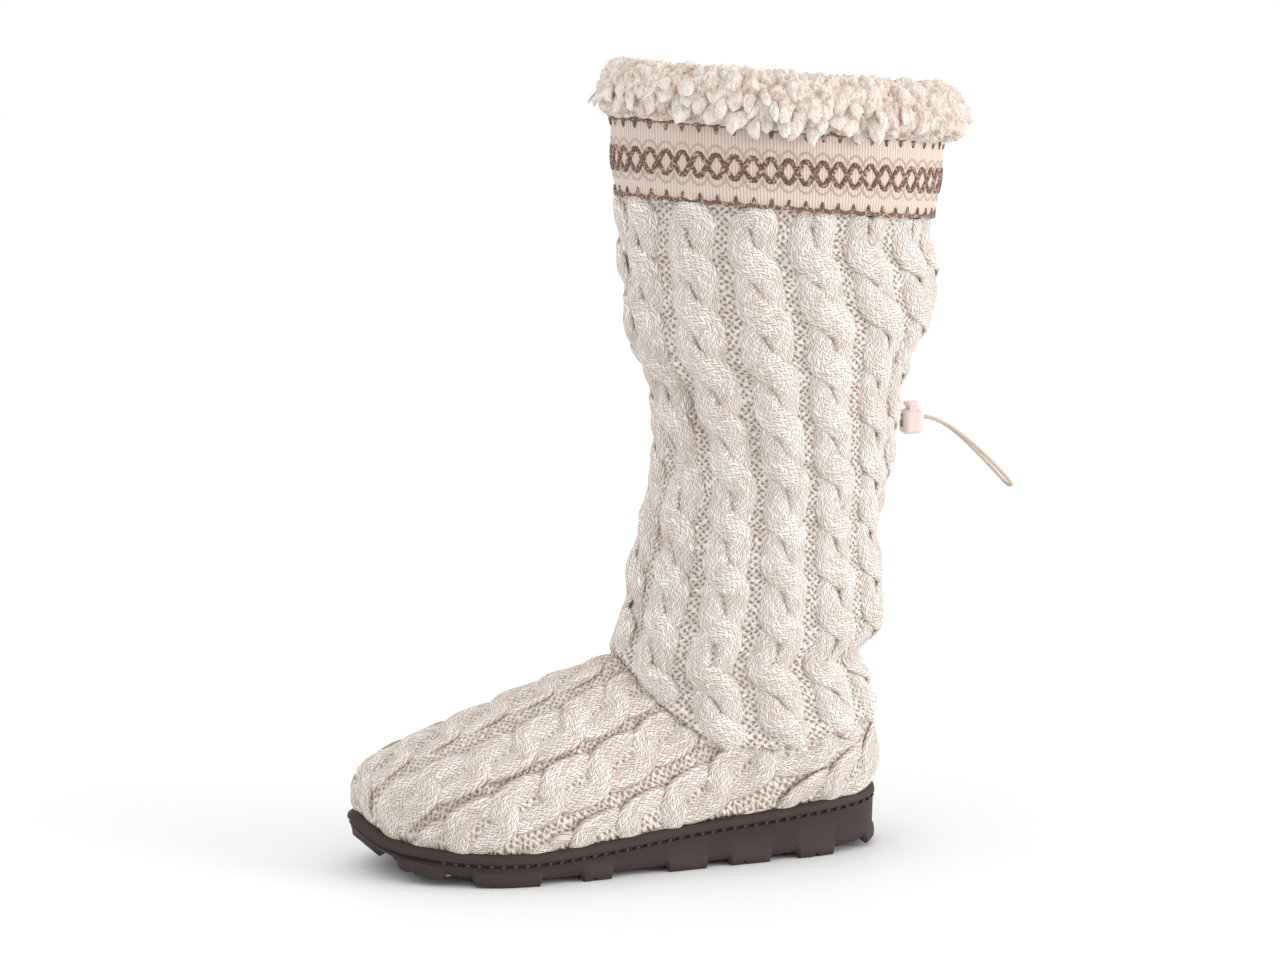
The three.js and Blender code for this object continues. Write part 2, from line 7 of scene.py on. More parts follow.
import bpy
import numpy as np
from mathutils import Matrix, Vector
from mathutils.bvhtree import BVHTree


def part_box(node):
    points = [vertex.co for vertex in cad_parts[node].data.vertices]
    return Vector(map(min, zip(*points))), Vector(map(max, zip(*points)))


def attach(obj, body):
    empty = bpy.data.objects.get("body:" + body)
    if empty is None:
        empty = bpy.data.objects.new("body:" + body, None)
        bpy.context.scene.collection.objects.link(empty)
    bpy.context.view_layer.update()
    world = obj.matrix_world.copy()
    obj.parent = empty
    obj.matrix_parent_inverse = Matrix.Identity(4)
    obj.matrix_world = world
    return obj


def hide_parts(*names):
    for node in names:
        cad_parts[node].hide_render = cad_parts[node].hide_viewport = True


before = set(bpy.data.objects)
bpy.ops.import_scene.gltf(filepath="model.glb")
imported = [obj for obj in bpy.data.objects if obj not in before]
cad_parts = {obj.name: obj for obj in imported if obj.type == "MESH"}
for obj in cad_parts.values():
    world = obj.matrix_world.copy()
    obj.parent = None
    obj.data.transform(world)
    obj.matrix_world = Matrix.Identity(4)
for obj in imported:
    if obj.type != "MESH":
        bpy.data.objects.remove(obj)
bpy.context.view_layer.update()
MM = 0.001
HEEL = np.array([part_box("outsole")[0].x, 0.0, 0.0])

# Driving sizes of the last and the sole
SOLE_LENGTH = 261.5
BALL_WIDTH = 95.0
SEAM_GAP = 0.3
# Half-breadths of the sole: share of the length, then outer and inner shares of the ball width
SOLE_STATIONS = [
    (0.012, 0.125, 0.125), (0.036, 0.2, 0.2), (0.075, 0.255, 0.255), (0.13, 0.3, 0.3),
    (0.23, 0.343, 0.335), (0.36, 0.38, 0.34), (0.49, 0.424, 0.38), (0.6, 0.468, 0.45),
    (0.7, 0.495, 0.5), (0.78, 0.473, 0.503), (0.85, 0.407, 0.475), (0.92, 0.28, 0.405),
    (0.97, 0.115, 0.29),
]
TOE_SIDE_SHIFT = -9.0
# Side view of the sole: x, underside of the lugs, top of the rim
SOLE_SIDE = [
    (0, 3.5, 31), (10, 1.6, 30), (20, 0.5, 29), (30, 0, 28.2), (60, 0, 25.8), (104, 0, 22.7),
    (142, 0, 18.8), (177, 0, 16.2), (196, 0, 15.9), (214, 1.4, 16.7), (230, 3.4, 17.9),
    (245, 5.9, 20), (254, 8.3, 23.4), (262, 12, 30),
]
# Lugs: from, to and the notch across the lug, if it has one
LUGS = [
    (-5, 10, None), (27.5, 49, 38.5), (62, 85, 77), (95, 117, None), (144, 161, 154),
    (180, 214, None), (226, 247, 240), (254, 270, None),
]
LUG_DEPTH = 3.0
LUG_RAMP = 1.6
NOTCH_DEPTH = 1.3
NOTCH_REACH = 1.6
NOTCH_SLOPE = 1.6
RIM_WIDTH = 3.2
RECESS_DEPTH = 3.0
# Wall of the sole from the underside up: inset between lugs and on a lug, then heights over the tread
LUG_FACE = [
    (3.4, 1.9, 3.0, 0.0), (2.5, 0.8, 3.15, 0.25), (2.1, 0.15, 3.7, 1.2), (1.7, 0.0, 4.6, 3.0),
    (1.25, 0.3, 5.6, 5.2), (1.1, 1.2, 6.9, 6.9),
]
# Upper wall: inset, and depth under the top of the rim
RIM_FACE = [
    (0.85, 7.0), (0.55, 6.6), (0.7, 6.4), (1.9, 6.2), (2.1, 5.6), (1.9, 5.0), (0.6, 4.85), (0.25, 4.6),
    (0.12, 4.0), (0.2, 2.9), (0.6, 1.6), (1.4, 0.6), (2.5, 0.06), (3.0, 0.12), (RIM_WIDTH, 0.5),
    (RIM_WIDTH, RECESS_DEPTH),
]
PLAN_STEPS = 60
SOLE_STEPS = 120
SOLE_END = 0.02
TREAD_COLUMNS = 9
SOLE_CREASE = 38
TOE_BUMPER = 2.6
BUMPER_START = 226.0
TOE_BEVEL = 5.0
BEVEL_START = 236.0
BEVEL_HEIGHTS = (-1, 8)
GROOVE_TOP = 3
TOE_GROOVE = (236, 256)
TOE_GROOVE_INSET = 0.8
# Stitches in the groove
STITCH_END = 226.0
STITCH_POINTS = 400
STITCH_INSET = 1.15
STITCH_DEPTH = 5.6
STITCH_SIZES = {"Pitch": 5.6 * MM, "Length": 1.9 * MM, "Radius": 0.75 * MM}
# Section of the insole: inset from its edge, rise over the rim
INSOLE_SECTION = [(0.6, -2.7), (0, -2.2), (0, 0.2), (0.5, 0.9), (1.6, 1.3), (6, 1.45), (16, 1.3)]
INSOLE_COLUMNS = 180

# Knitted foot
WALL = 3.0
TOE_BULGE = 3.6
HEEL_BULGE = 4.4
SIDE_BULGE = 3.2
STATION_DRIFT = 0.09
VAMP_START = 70.0
VAMP_FULL = 180.0
VAMP_FULLNESS = 0.3
# Levels from the rim to the ankle seam: number, run inwards, climb
VAMP_LEVELS = [
    (0, 0, 0), (1, -0.012, 0.1), (2, -0.008, 0.19), (3, 0.012, 0.275), (4, 0.055, 0.345),
    (5, 0.14, 0.43), (6, 0.3, 0.545), (7, 0.52, 0.69), (8, 0.76, 0.845), (9, 1, 1),
]
TOP_LEVEL = VAMP_LEVELS[-1][0]
SEAM_SIDE_HEIGHT = 59.0
SEAM_INSTEP_RISE = 45.0
SEAM_HEEL_RISE = 11.0
SEAM_INSTEP_CURVE = 2.7
SEAM_HEEL_CURVE = 1.5
SEAM_TUCK = 2.0
FOOT_COLUMNS = 360
FOOT_ROWS = 64
HEM_BURY = 7.0
HEM_TUCK = 1.0
HEM_GROUND = 0.5
HEM_FADE = (0.02, 0.14)
TOP_FADE = (0.9, 1.0)
TOP_SHARE = 0.5
FOOT_GROUND = 1.8
HEEL_GROUND = 0.7
HEEL_GROUND_FADE = (10, 50)
# The fabric of the foot, laid flat: slope of the vamp, and where the heel is unrolled
FOOT_SLOPE = math.radians(26)
HEEL_UNROLL = 62.0
HEEL_HALF = 31.0
HEEL_FADE = (40, 85)
RIDGE_BEND = 1.4
# Middles of the foot's cables, across the knit from the ridge of the vamp to each side
FOOT_CABLES = [-118, -90, -62, -32, 2, 38, 67, 95, 122]
# Bow of those cables: place along the knit, shift away from the ridge
FOOT_BOW = [
    (-240, -8), (-203, -3.5), (-160, 3.5), (-115, 0.5), (-90, -4.5), (-68, -9), (-40, -10), (40, -10),
]
BOW_FADE = (60, 100)
BOW_LOSS = 0.7
BOW_START = 20
FOOT_STEP = 1.4
FOOT_STRAND_HALF = 7.2
FOOT_STRAND_REACH = 5.8
FOOT_STRAND_THICK = 2.0
FOOT_STRAND_LOW = -1.9
FOOT_STRAND_LIFT = 0.9
FOOT_STRAND_SAG = 0.9
FOOT_STRAND_SHIFT = 0.2
SHORTEST_STRAND = 12
NORMAL_PASSES = 3
FOOT_TUCK = 1.1
FOOT_TUCK_LEVELS = (0.92, 1.0)
FOOT_TUCK_END = (0, 5)
FOOT_TUCK_NARROWS = 0.2
# How deep the cables sink by the ridge of the vamp, and how far from it
OUTER_SINK = (1.2, 30)
INNER_SINK = (2.4, 60)

# Slouch shaft: height, back, front and half-breadth over the cables
SHAFT_SECTIONS = [
    (54, -2, 131, 38), (70, -0.5, 131, 38.5), (84, 4, 131.5, 39.5), (97, 8.5, 133.5, 41),
    (108, 0.2, 133.5, 42.5), (120, -3.1, 129, 44), (138, -2.9, 126.2, 45), (157, 0.5, 122, 46),
    (180, -3.9, 116, 46.5), (194, -6.6, 112.5, 47), (215, -9.1, 113, 48), (232, -11.6, 114.8, 49.5),
    (246, -16.5, 121, 52), (256, -22.6, 125.5, 54), (270, -27, 126, 55.5), (284, -27.8, 128.5, 56),
    (300, -24, 129.5, 57), (320, -28, 131, 57), (340, -30.5, 133.5, 57.5), (395, -32.5, 134.5, 57.5),
]
ARC_SPREAD = 0.08
SHAFT_COLUMNS = 140
SHAFT_ROWS = 110
KNIT_INSIDE = 6.6
# Turn of the cables round the shaft: height, share of the way round, and how far the slouch spreads
# them on the outer side and gathers them on the inner side
CABLE_TURN = [
    (60, 0.098, 0.33), (85, 0.092, 0.32), (110, 0.084, 0.27), (132, 0.077, 0.22), (150, 0.076, 0.22),
    (180, 0.061, 0.2), (196, 0.047, 0.18), (220, 0.032, 0.2), (253, 0.02, 0.18), (280, 0.006, 0.03),
    (308, 0.003, 0.0), (360, 0.003, 0.0),
]
SPREAD_MIDDLE = 0.68
# Creases of the slouch: degrees round from the toe to the outer side, height, tilt in mm a radian,
# reach in radians, breadth in mm, depth in mm
SLOUCH_CREASES = [
    (25, 233, -80, 0.36, 7, 4.4), (8, 262, -50, 0.3, 7, 2.2), (14, 200, -50, 0.32, 7, 3.0),
    (34, 188, -40, 0.4, 7, 2.2), (16, 160, -40, 0.3, 6, 2.8), (38, 150, -36, 0.35, 6, 2.0),
    (12, 122, -40, 0.35, 6, 2.2), (60, 206, -24, 0.4, 8, 1.6), (-20, 236, 60, 0.4, 7, 2.4),
    (-36, 200, 40, 0.45, 8, 2.0), (-20, 160, 40, 0.35, 7, 2.0), (-16, 122, 36, 0.35, 6, 1.6),
    (152, 244, 14, 0.5, 7, 1.8), (205, 238, -12, 0.5, 7, 1.8), (180, 222, 0, 0.6, 8, 1.0),
    (150, 98, 10, 0.45, 7, 1.4), (210, 98, -10, 0.45, 7, 1.4),
]
# Roll of knit over each crease: its share of the depth, and its distance in breadths
CREASE_ROLL = 0.45
CREASE_ROLL_PLACE = 1.7
CREASE_START = 20
CREASE_END = (285, 310)

# Knit: stitch sizes and the cables
PURL_WALE = 4.4
PURL_COURSE = 3.4
CABLES = 14
CABLE_PITCH = 31.0
SHAFT_PURLS = 99
CROSSING = 25.0
CROSSING_SNAP = 2.0
STRAND_WALES = 5
STRAND_STEPS = 112
STRAND_HALF = 6.3
STRAND_REACH = 6.6
STRAND_THICK = 2.7
STRAND_LOW = -2.9
STRAND_LIFT = 1.25
STRAND_ROLL = 0.3
STRAND_SAG = 0.7
STRAND_CLEAR = 2.6
STRAND_SHIFT = 7.0
STRAND_BURY = 0.5
STRAND_RISE = 2
STRAND_LAP = 0.3
KNOT_SWELL = 1.0
KNOT_WIDENS = 0.25
CABLE_COURSE = 3.0
CABLE_GROUND = 2.15
CABLE_GROUND_EDGE = (4, 11)
GROUND_DEPTH = 3.7
SEAM_ROLL = 2.5
SEAM_ROLL_END = (0.8, 8)
SEAM_LIP = 1.4
SEAM_FLARE = 2.2
SEAM_FLARE_CURVE = 4
SEAM_FLARE_HEIGHT = 7
BAND_TUCK = 2.8
BAND_TUCK_HEIGHT = 5
HEAD_LEVEL = (0, 15)

# Patterned band
BAND_TOP = 355.0
BAND_HEIGHT = 38.0
BAND_THICKNESS = 2.0
BAND_CLEAR = 0.8
KNIT_UNDER_BAND = 1.0
KNIT_STEP = 0.4
COLLAR_RISE = 6.3
DENT_PLACE = math.radians(42)
DENT_REACH = 0.3
DENT_DEPTH = 4.0
DENT_TOP = 8
# Section of the band: height over its lower edge, distance outside
BAND_SECTION = [
    (0, -1.6), (0.3, -0.2), (1.2, 0.0), (10, 0.05), (19, 0.05), (28, 0.05), (36.8, 0.0), (37.7, -0.2),
    (38, -1.6), (37.7, -2.0), (0.3, -2.0),
]
BAND_COLUMNS = 420
BAND_SINK = 0.45
BAND_REPEATS = 52
YARN_STEPS = 20
YARN_SIDES = 6
RIB = 1.6
PICK = 0.9
LATTICE_HALF = 5.1
LATTICE_RADIUS = 1.7
LATTICE_MIDDLE = 18.0
LATTICE_OUT = -1.2
LATTICE_WEAVE = 0.3
LATTICE_FLAT = 1.35
# Edges of the pattern: height over the lower edge of the band, and the way to its middle
EDGE_YARNS = [(37.3, -1), (0.5, 1)]
EDGE_OUT = -0.2
EDGE_SCALLOP = 0.9
EDGE_RADIUS = 0.95
GREY_LOOP_START = 5.0
GREY_LOOP_HEIGHT = 4.4
GREY_LOOP_CURVE = 0.6
GREY_LOOP_OUT = -0.9
GREY_LOOP_RADIUS = 0.85
# Roots of the teeth: height over the lower edge of the band, and the way to its middle
TEETH = [(37.0, -1), (0.8, 1)]
TOOTH_POINTS = 8
TOOTH_LENGTH = 4.6
TOOTH_RADIUS = 1.25
TOOTH_OUT = -0.5
TOOTH_SINK = 0.3
# Just over 1, so that a taper ends in a small face
TAPER_END = 1.02

# Fleece cuff
CUFF_OVERHANG_FRONT = 2.0
CUFF_OVERHANG_BACK = 8.0
# Section of the cuff: distance outside the band, share of the overhang, rise over the collar
CUFF_SECTION = [
    (-1.8, 0.6, 2.5), (-0.6, 1.0, 6), (-0.8, 1.0, 13), (-2.6, 0.8, 19), (-6.5, 0.3, 22.5), (-11, 0, 20),
    (-12.5, 0, 9), (-12.5, 0, -8), (-10, 0, -12), (-6, 0, -11),
]
CUFF_COLUMNS = 500
CUFF_STEPS = 10
CUFF_TOP_SHOWS = 0.9
CUFF_SHOWS = (-0.75, -0.1)
CUFF_LOW = (-3, 2)
CUFF_FRONT = (-0.75, 0.1)
FLEECE_BACK = 0.92
FLEECE_FRONT = 0.88
COMB_OUT = 0.8
LOCKS_HEM = (1, 4)
LOCKS_HEM_RISE = 8
LOCKS_HEM_FRONT = (0.5, 0.9)
LOCKS_TOP = (0.25, 0.5)
FLEECE_SIZES = {
    "Clumps": 140.0, "Puff": 6.6 * MM, "Spacing": 5.2 * MM, "Lock length": 14.5 * MM,
    "Lock radius": 3.6 * MM, "Seed": 4,
}

# Cord lock and drawcord
CORD_DIAMETER = 1.8
CORD_ROUTE = [
    (-12, 1.15, 211.9), (-18, 1.15, 211.9), (-24.1, 1.15, 211.9), (-29.4, 1.3, 210.9),
    (-34.6, 1.6, 208.6), (-39.7, 2, 205.5), (-44.6, 2.4, 201.8), (-51, 2.9, 196.3),
    (-57.3, 3.3, 190.4), (-63.2, 3.6, 184.5), (-68.9, 3.6, 178.5),
]
CORD_GROOVE = 3.0
CORD_SIDES = 12
CORD_STEPS = 6
CORD_UP = [0.0, 0.3, 1.0]
LOOP_RADIUS = 3.6
LOOP_DIRECTION = np.array([-0.7, 0.0, -0.714])
LOOP_TURN_POINTS = 5
# Turn of the loop about its own length: rise of one run over the other, and where it comes in
LOOP_TWIST = 0.6
LOOP_TWIST_SPAN = 1.2
LOOP_TWIST_FADE = (0.35, 0.8)

# Camera and light: for a light, the way towards it, its strength and its spread in degrees
CAMERA_PLACE = (HEEL[0] + 0.50864, 1.449, 0.405)
CAMERA_TURN = (math.radians(81.68), 0.0, math.radians(165.0))
CAMERA_LENS = 88.17
CAMERA_SENSOR = 36.0
FLOOR_REACH = 12.0
SUNS = [("Key", (-0.85, 0.48, 0.18), 2.2, 40), ("Fill", (0.5, 0.1, 0.85), 0.5, 60)]


# Curves and forms
def curve_through(rows, column):
    """Smooth curve through a column of a table against its first column, level where it turns."""
    at = np.array([row[0] for row in rows], float)
    value = np.array([row[column] for row in rows], float)
    step = np.diff(value) / np.diff(at)
    slope = np.concatenate([step[:1], (value[2:] - value[:-2]) / (at[2:] - at[:-2]), step[-1:]])
    slope[1:-1][step[:-1] * step[1:] <= 0] = 0

    def read(where):
        where = np.clip(where, at[0], at[-1])
        i = np.clip(np.searchsorted(at, where, side="right") - 1, 0, len(at) - 2)
        span = at[i + 1] - at[i]
        t = (where - at[i]) / span
        low = value[i] * (1 + 2 * t) * (1 - t) ** 2 + slope[i] * span * t * (1 - t) ** 2
        return low + value[i + 1] * (3 - 2 * t) * t ** 2 - slope[i + 1] * span * (1 - t) * t ** 2

    return read


tread_height = curve_through(SOLE_SIDE, 1)
feather_height = curve_through(SOLE_SIDE, 2)
shaft_back = curve_through(SHAFT_SECTIONS, 1)
shaft_front = curve_through(SHAFT_SECTIONS, 2)
shaft_half = curve_through(SHAFT_SECTIONS, 3)
vamp_run = curve_through(VAMP_LEVELS, 1)
vamp_climb = curve_through(VAMP_LEVELS, 2)
cable_turn = curve_through(CABLE_TURN, 1)
cable_spread = curve_through(CABLE_TURN, 2)
foot_bow = curve_through(FOOT_BOW, 1)


def smoothstep(value, low, high):
    t = np.clip((value - low) / (high - low), 0, 1)
    return t * t * (3 - 2 * t)


def lerp(a, b, t):
    return a + (b - a) * t


def unit(vectors):
    return vectors / np.linalg.norm(vectors, axis=-1, keepdims=True)


def path_reach(points):
    return np.concatenate([[0], np.cumsum(np.linalg.norm(np.diff(points, axis=0), axis=1))])


def round_shares(columns):
    """Even shares of the way round, from 0 to 1."""
    return np.arange(columns + 1) / columns


def turn_from(angle, place):
    """Angle from a place, the short way round."""
    return np.mod(angle - place + math.pi, 2 * math.pi) - math.pi


def through_points(points, closed, steps):
    """Points along a centripetal curve through given points, with equal steps in each stretch."""
    points = np.asarray(points, float)
    count = len(points)
    made = []
    for i in range(count if closed else count - 1):
        if closed:
            a, b, c, d = (points[(i + j - 1) % count] for j in range(4))
        else:
            b, c = points[i], points[i + 1]
            a = points[i - 1] if i else 2 * b - c
            d = points[i + 2] if i + 2 < count else 2 * c - b
        gaps = [math.sqrt(np.linalg.norm(q - p)) for p, q in ((a, b), (b, c), (c, d))]
        leave = ((b - a) / gaps[0] - (c - a) / (gaps[0] + gaps[1]) + (c - b) / gaps[1]) * gaps[1]
        reach = ((c - b) / gaps[1] - (d - b) / (gaps[1] + gaps[2]) + (d - c) / gaps[2]) * gaps[1]
        t = np.linspace(0, 1, steps, endpoint=False)[:, None]
        bend = (-3 * b + 3 * c - 2 * leave - reach) * t ** 2 + (2 * b - 2 * c + leave + reach) * t ** 3
        made.append(b + leave * t + bend)
    if not closed:
        made.append(points[-1:])
    return np.concatenate(made)


def sole_plan():
    """Dense plan of the sole from the back of the heel over the inner side to the toe and back."""
    inner = [(a * SOLE_LENGTH, -i * BALL_WIDTH) for a, o, i in SOLE_STATIONS]
    outer = [(a * SOLE_LENGTH, o * BALL_WIDTH) for a, o, i in SOLE_STATIONS]
    toe = (SOLE_LENGTH, TOE_SIDE_SHIFT)
    plan = through_points([(0, 0), *inner, toe, *outer[::-1]], True, PLAN_STEPS)
    return np.vstack([plan, plan[:1]])


PLAN = sole_plan()
PLAN_LENGTH = path_reach(PLAN)[-1]
PLAN_SHARE = path_reach(PLAN) / PLAN_LENGTH
TOE_ROW = int(np.argmax(PLAN[:, 0]))
INNER_ROWS = slice(0, TOE_ROW + 1)
OUTER_ROWS = slice(None, TOE_ROW - 1, -1)


def plan_share(x, rows):
    """Share of the way round the plan at a place along the sole, on its inner or outer side."""
    return np.interp(x, np.maximum.accumulate(PLAN[rows, 0]), PLAN_SHARE[rows])


def plan_point(share):
    share = np.mod(share, 1.0)
    return np.stack([np.interp(share, PLAN_SHARE, PLAN[:, i]) for i in (0, 1)], -1)


def plan_inwards(share, nudge=0.004):
    along = unit(plan_point(share + nudge) - plan_point(share - nudge))
    return np.stack([-along[..., 1], along[..., 0]], -1)


def sole_loop(share, inset):
    return plan_point(share) + plan_inwards(share) * np.asarray(inset)[..., None]


def angle_at(share):
    """Angle from the toe towards the outer side, at a share of the way round from the back."""
    turn = math.pi + 2 * math.pi * np.asarray(share, float)
    return turn + ARC_SPREAD * np.sin(2 * turn)


def shaft_point(angle, z, offset):
    angle, z, offset = np.broadcast_arrays(angle, z, np.asarray(offset, float))
    half_length = (shaft_front(z) - shaft_back(z)) / 2
    centre = (shaft_front(z) + shaft_back(z)) / 2
    half = shaft_half(z)
    out = unit(np.stack([np.cos(angle) * half, np.sin(angle) * half_length], -1))
    x = centre + np.cos(angle) * half_length + out[..., 0] * offset
    y = np.sin(angle) * half + out[..., 1] * offset
    return np.stack([x, y, z], -1)


def shaft_girth(z):
    a = (shaft_front(z) - shaft_back(z)) / 2
    b = shaft_half(z)
    return math.pi * (3 * (a + b) - np.sqrt((3 * a + b) * (a + 3 * b)))


def slouch(angle, z):
    """How far the creases draw the knit in."""
    total = np.zeros(np.broadcast(angle, z).shape)
    for degrees, height, tilt, reach, breadth, depth in SLOUCH_CREASES:
        off = turn_from(angle, math.radians(degrees))
        across = (z - height - tilt * off) / breadth
        trough = np.exp(-across ** 2) - CREASE_ROLL * np.exp(-(across - CREASE_ROLL_PLACE) ** 2)
        total = total - depth * trough * np.exp(-(off / reach) ** 2)
    return total


def knit_point(angle, z, offset):
    """Shaft surface with its creases, which fade at the ankle seam and under the band."""
    seam = seam_height(angle)
    fade = smoothstep(z, seam, seam + CREASE_START) * (1 - smoothstep(z, *CREASE_END))
    return shaft_point(angle, z, offset + slouch(angle, z) * fade)


def knit_share(share, z):
    """Where a wale of the shaft lies at a height, as a share of the way round."""
    round_way = 2 * math.pi * (share - SPREAD_MIDDLE)
    return share + cable_turn(z) + cable_spread(z) * np.sin(round_way) / (2 * math.pi)


def knit_width(share, z):
    """Width of a cable there, against its width where the knit lies flat."""
    spread = 1 + cable_spread(z) * np.cos(2 * math.pi * (share - SPREAD_MIDDLE))
    return spread * shaft_girth(z) / (CABLES * CABLE_PITCH)


def seam_height(angle):
    forward = np.maximum(np.cos(angle), 0) ** SEAM_INSTEP_CURVE
    backward = np.maximum(-np.cos(angle), 0) ** SEAM_HEEL_CURVE
    return SEAM_SIDE_HEIGHT + SEAM_INSTEP_RISE * forward + SEAM_HEEL_RISE * backward


def seam_flare(angle, above):
    """How far the knit bells out over the instep, at a height above the ankle seam."""
    forward = np.maximum(np.cos(angle), 0) ** SEAM_FLARE_CURVE
    return SEAM_FLARE * forward * np.exp(-(above / SEAM_FLARE_HEIGHT) ** 2)


def collar_height(angle):
    return BAND_TOP + COLLAR_RISE * np.cos(angle)


def collar_dent(angle, z):
    """Hollow in the soft collar, on its outer side towards the front."""
    hollow = np.exp(-(turn_from(angle, DENT_PLACE) / DENT_REACH) ** 2)
    return DENT_DEPTH * hollow * smoothstep(z, BAND_TOP - BAND_HEIGHT, BAND_TOP - DENT_TOP)


def band_low(angle):
    return collar_height(angle) - BAND_HEIGHT


def cuff_point(angle, out, swell, rise):
    overhang = lerp(CUFF_OVERHANG_FRONT, CUFF_OVERHANG_BACK, (1 - np.cos(angle)) / 2)
    z = collar_height(angle) + rise
    return shaft_point(angle, z, out + swell * overhang - collar_dent(angle, z))


def foot_point(share, level):
    """Outside of the knitted foot, from the rim of the sole (level 0) to the ankle seam (level 9)."""
    share, level = np.broadcast_arrays(share, level)
    start = sole_loop(share, RIM_WIDTH + SEAM_GAP)
    angle = angle_at(share + STATION_DRIFT * np.sin(2 * math.pi * share))
    end = shaft_point(angle, seam_height(angle) - 2 * SEAM_GAP, -SEAM_TUCK)
    even = level / TOP_LEVEL
    forward = smoothstep(start[..., 0], VAMP_START, VAMP_FULL)
    sideways = np.abs(np.sin(2 * math.pi * share))
    climb = np.clip(vamp_climb(level), 0, 1)
    rise = lerp(even, climb ** (1 - VAMP_FULLNESS * sideways), forward)
    inwards = lerp(even, vamp_run(level), forward)
    heel = lerp(SIDE_BULGE, HEEL_BULGE, np.maximum(0, 1 - start[..., 0] / VAMP_START))
    bulge = lerp(heel, TOE_BULGE, forward) * np.sin(math.pi * np.sqrt(rise))
    outward = -plan_inwards(share) * bulge[..., None]
    plan = lerp(start, end[..., :2], inwards[..., None]) + outward
    z = lerp(feather_height(start[..., 0]) + SEAM_GAP, end[..., 2], rise)
    return np.concatenate([plan, z[..., None]], -1)


# Meshes
def quads_of(grid, axis=-1):
    """Corners of the quads between neighbouring rows and columns."""
    return np.stack([grid[:-1, :-1], grid[:-1, 1:], grid[1:, 1:], grid[1:, :-1]], axis)


def add_object(name, data):
    made = bpy.data.objects.new(name, data)
    bpy.context.scene.collection.objects.link(made)
    return made


class Piece:
    """Points and faces of one piece, gathered part by part in millimetres."""

    def __init__(self):
        self.points, self.corners, self.sizes, self.coords, self.finishes = [], [], [], [], []
        self.count = 0

    def add(self, points):
        """Takes rows of points and gives their numbers."""
        index = self.count + np.arange(points[..., 0].size).reshape(points.shape[:-1])
        self.points.append(points.reshape(-1, 3))
        self.count += index.size
        return index

    def faces(self, corners, finish=0, coords=None):
        corners = np.asarray(corners)
        if coords is None:
            coords = np.zeros(corners.shape + (2,))
        self.corners.append(corners.reshape(-1))
        self.coords.append(coords.reshape(-1, 2))
        self.sizes.append(np.full(len(corners), corners.shape[1]))
        self.finishes.append(np.full(len(corners), finish))

    def grid(self, points, coords=None, round_rows=False, finish=0):
        """Rows of points that close, joined by quads. coords has one more column, and one more row
        where the rows close too."""
        index = self.add(points)
        index = np.hstack([index, index[:, :1]])
        if round_rows:
            index = np.vstack([index, index[:1]])
        spots = None if coords is None else quads_of(coords, -2)
        self.faces(quads_of(index).reshape(-1, 4), finish, spots)
        return index

    def join(self, below, above, finish):
        """Quads between two closed rows of points that are already there."""
        self.faces(np.stack([below[:-1], below[1:], above[1:], above[:-1]], -1), finish)

    def cap(self, loop, finish=0):
        """One face over a loop of points that are already there."""
        self.faces([loop], finish)

    def build(self, name, materials, sharp=None):
        mesh = bpy.data.meshes.new(name)
        points = np.concatenate(self.points) * MM + HEEL
        corners = np.concatenate(self.corners)
        sizes = np.concatenate(self.sizes)
        mesh.vertices.add(len(points))
        mesh.vertices.foreach_set("co", points.astype(np.float32).ravel())
        mesh.loops.add(len(corners))
        mesh.loops.foreach_set("vertex_index", corners.astype(np.int32))
        mesh.polygons.add(len(sizes))
        mesh.polygons.foreach_set("loop_start", (np.cumsum(sizes) - sizes).astype(np.int32))
        mesh.polygons.foreach_set("material_index", np.concatenate(self.finishes).astype(np.int32))
        mesh.polygons.foreach_set("use_smooth", np.ones(len(sizes), bool))
        layer = mesh.uv_layers.new(name="Stitch")
        layer.data.foreach_set("uv", np.concatenate(self.coords).astype(np.float32).ravel())
        mesh.update(calc_edges=True)
        mesh.validate()
        if sharp is not None:
            mesh.set_sharp_from_angle(angle=math.radians(sharp))
        for material in materials:
            mesh.materials.append(material)
        return add_object(name, mesh)


def pairs(across, along):
    """Stitch coordinates for each place across in each row along."""
    return np.stack(np.meshgrid(across, along, indexing="xy"), -1)


def sweep(piece, points, normals, section, coords, finish=0):
    """A closed tube along points. section gives offsets across and out for each point of the path."""
    tangent = unit(np.gradient(points, axis=0))
    normal = unit(normals - tangent * np.sum(normals * tangent, -1, keepdims=True))
    across = np.cross(normal, tangent)
    rows = points[:, None] + across[:, None] * section[..., :1] + normal[:, None] * section[..., 1:]
    index = piece.grid(rows, coords, finish=finish)
    piece.cap(index[0, :-1][::-1], finish)
    piece.cap(index[-1, :-1], finish)


def yarn(piece, points, normals, radius, sides, finish=0):
    """A round yarn, with its round along the first coordinate and its length along the second."""
    radius = np.broadcast_to(radius, len(points))
    turn = np.arange(sides) * 2 * math.pi / sides
    section = np.stack([np.cos(turn), np.sin(turn)], -1) * radius.reshape(-1, 1, 1)
    sweep(piece, points, normals, section, pairs(round_shares(sides), path_reach(points)), finish)


def dress(piece, slot, *nodes):
    """Rides a piece on the boot and hides the solids that it stands for. slot is not used."""
    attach(piece, "boot")
    if nodes:
        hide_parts(*nodes)
    return piece


# Nodes
FLOAT, VECTOR = "NodeSocketFloat", "NodeSocketVector"
MIDDLE_GREY = (0.5, 0.5, 0.5)


def node(tree, kind, values=None, **settings):
    """A node with its settings, and its inputs set to a value or linked to another node's output."""
    made = tree.nodes.new(kind)
    for name, value in settings.items():
        setattr(made, name, value)
    for name, value in (values or {}).items():
        if isinstance(value, bpy.types.NodeSocket):
            tree.links.new(value, made.inputs[name])
        else:
            made.inputs[name].default_value = value
    return made


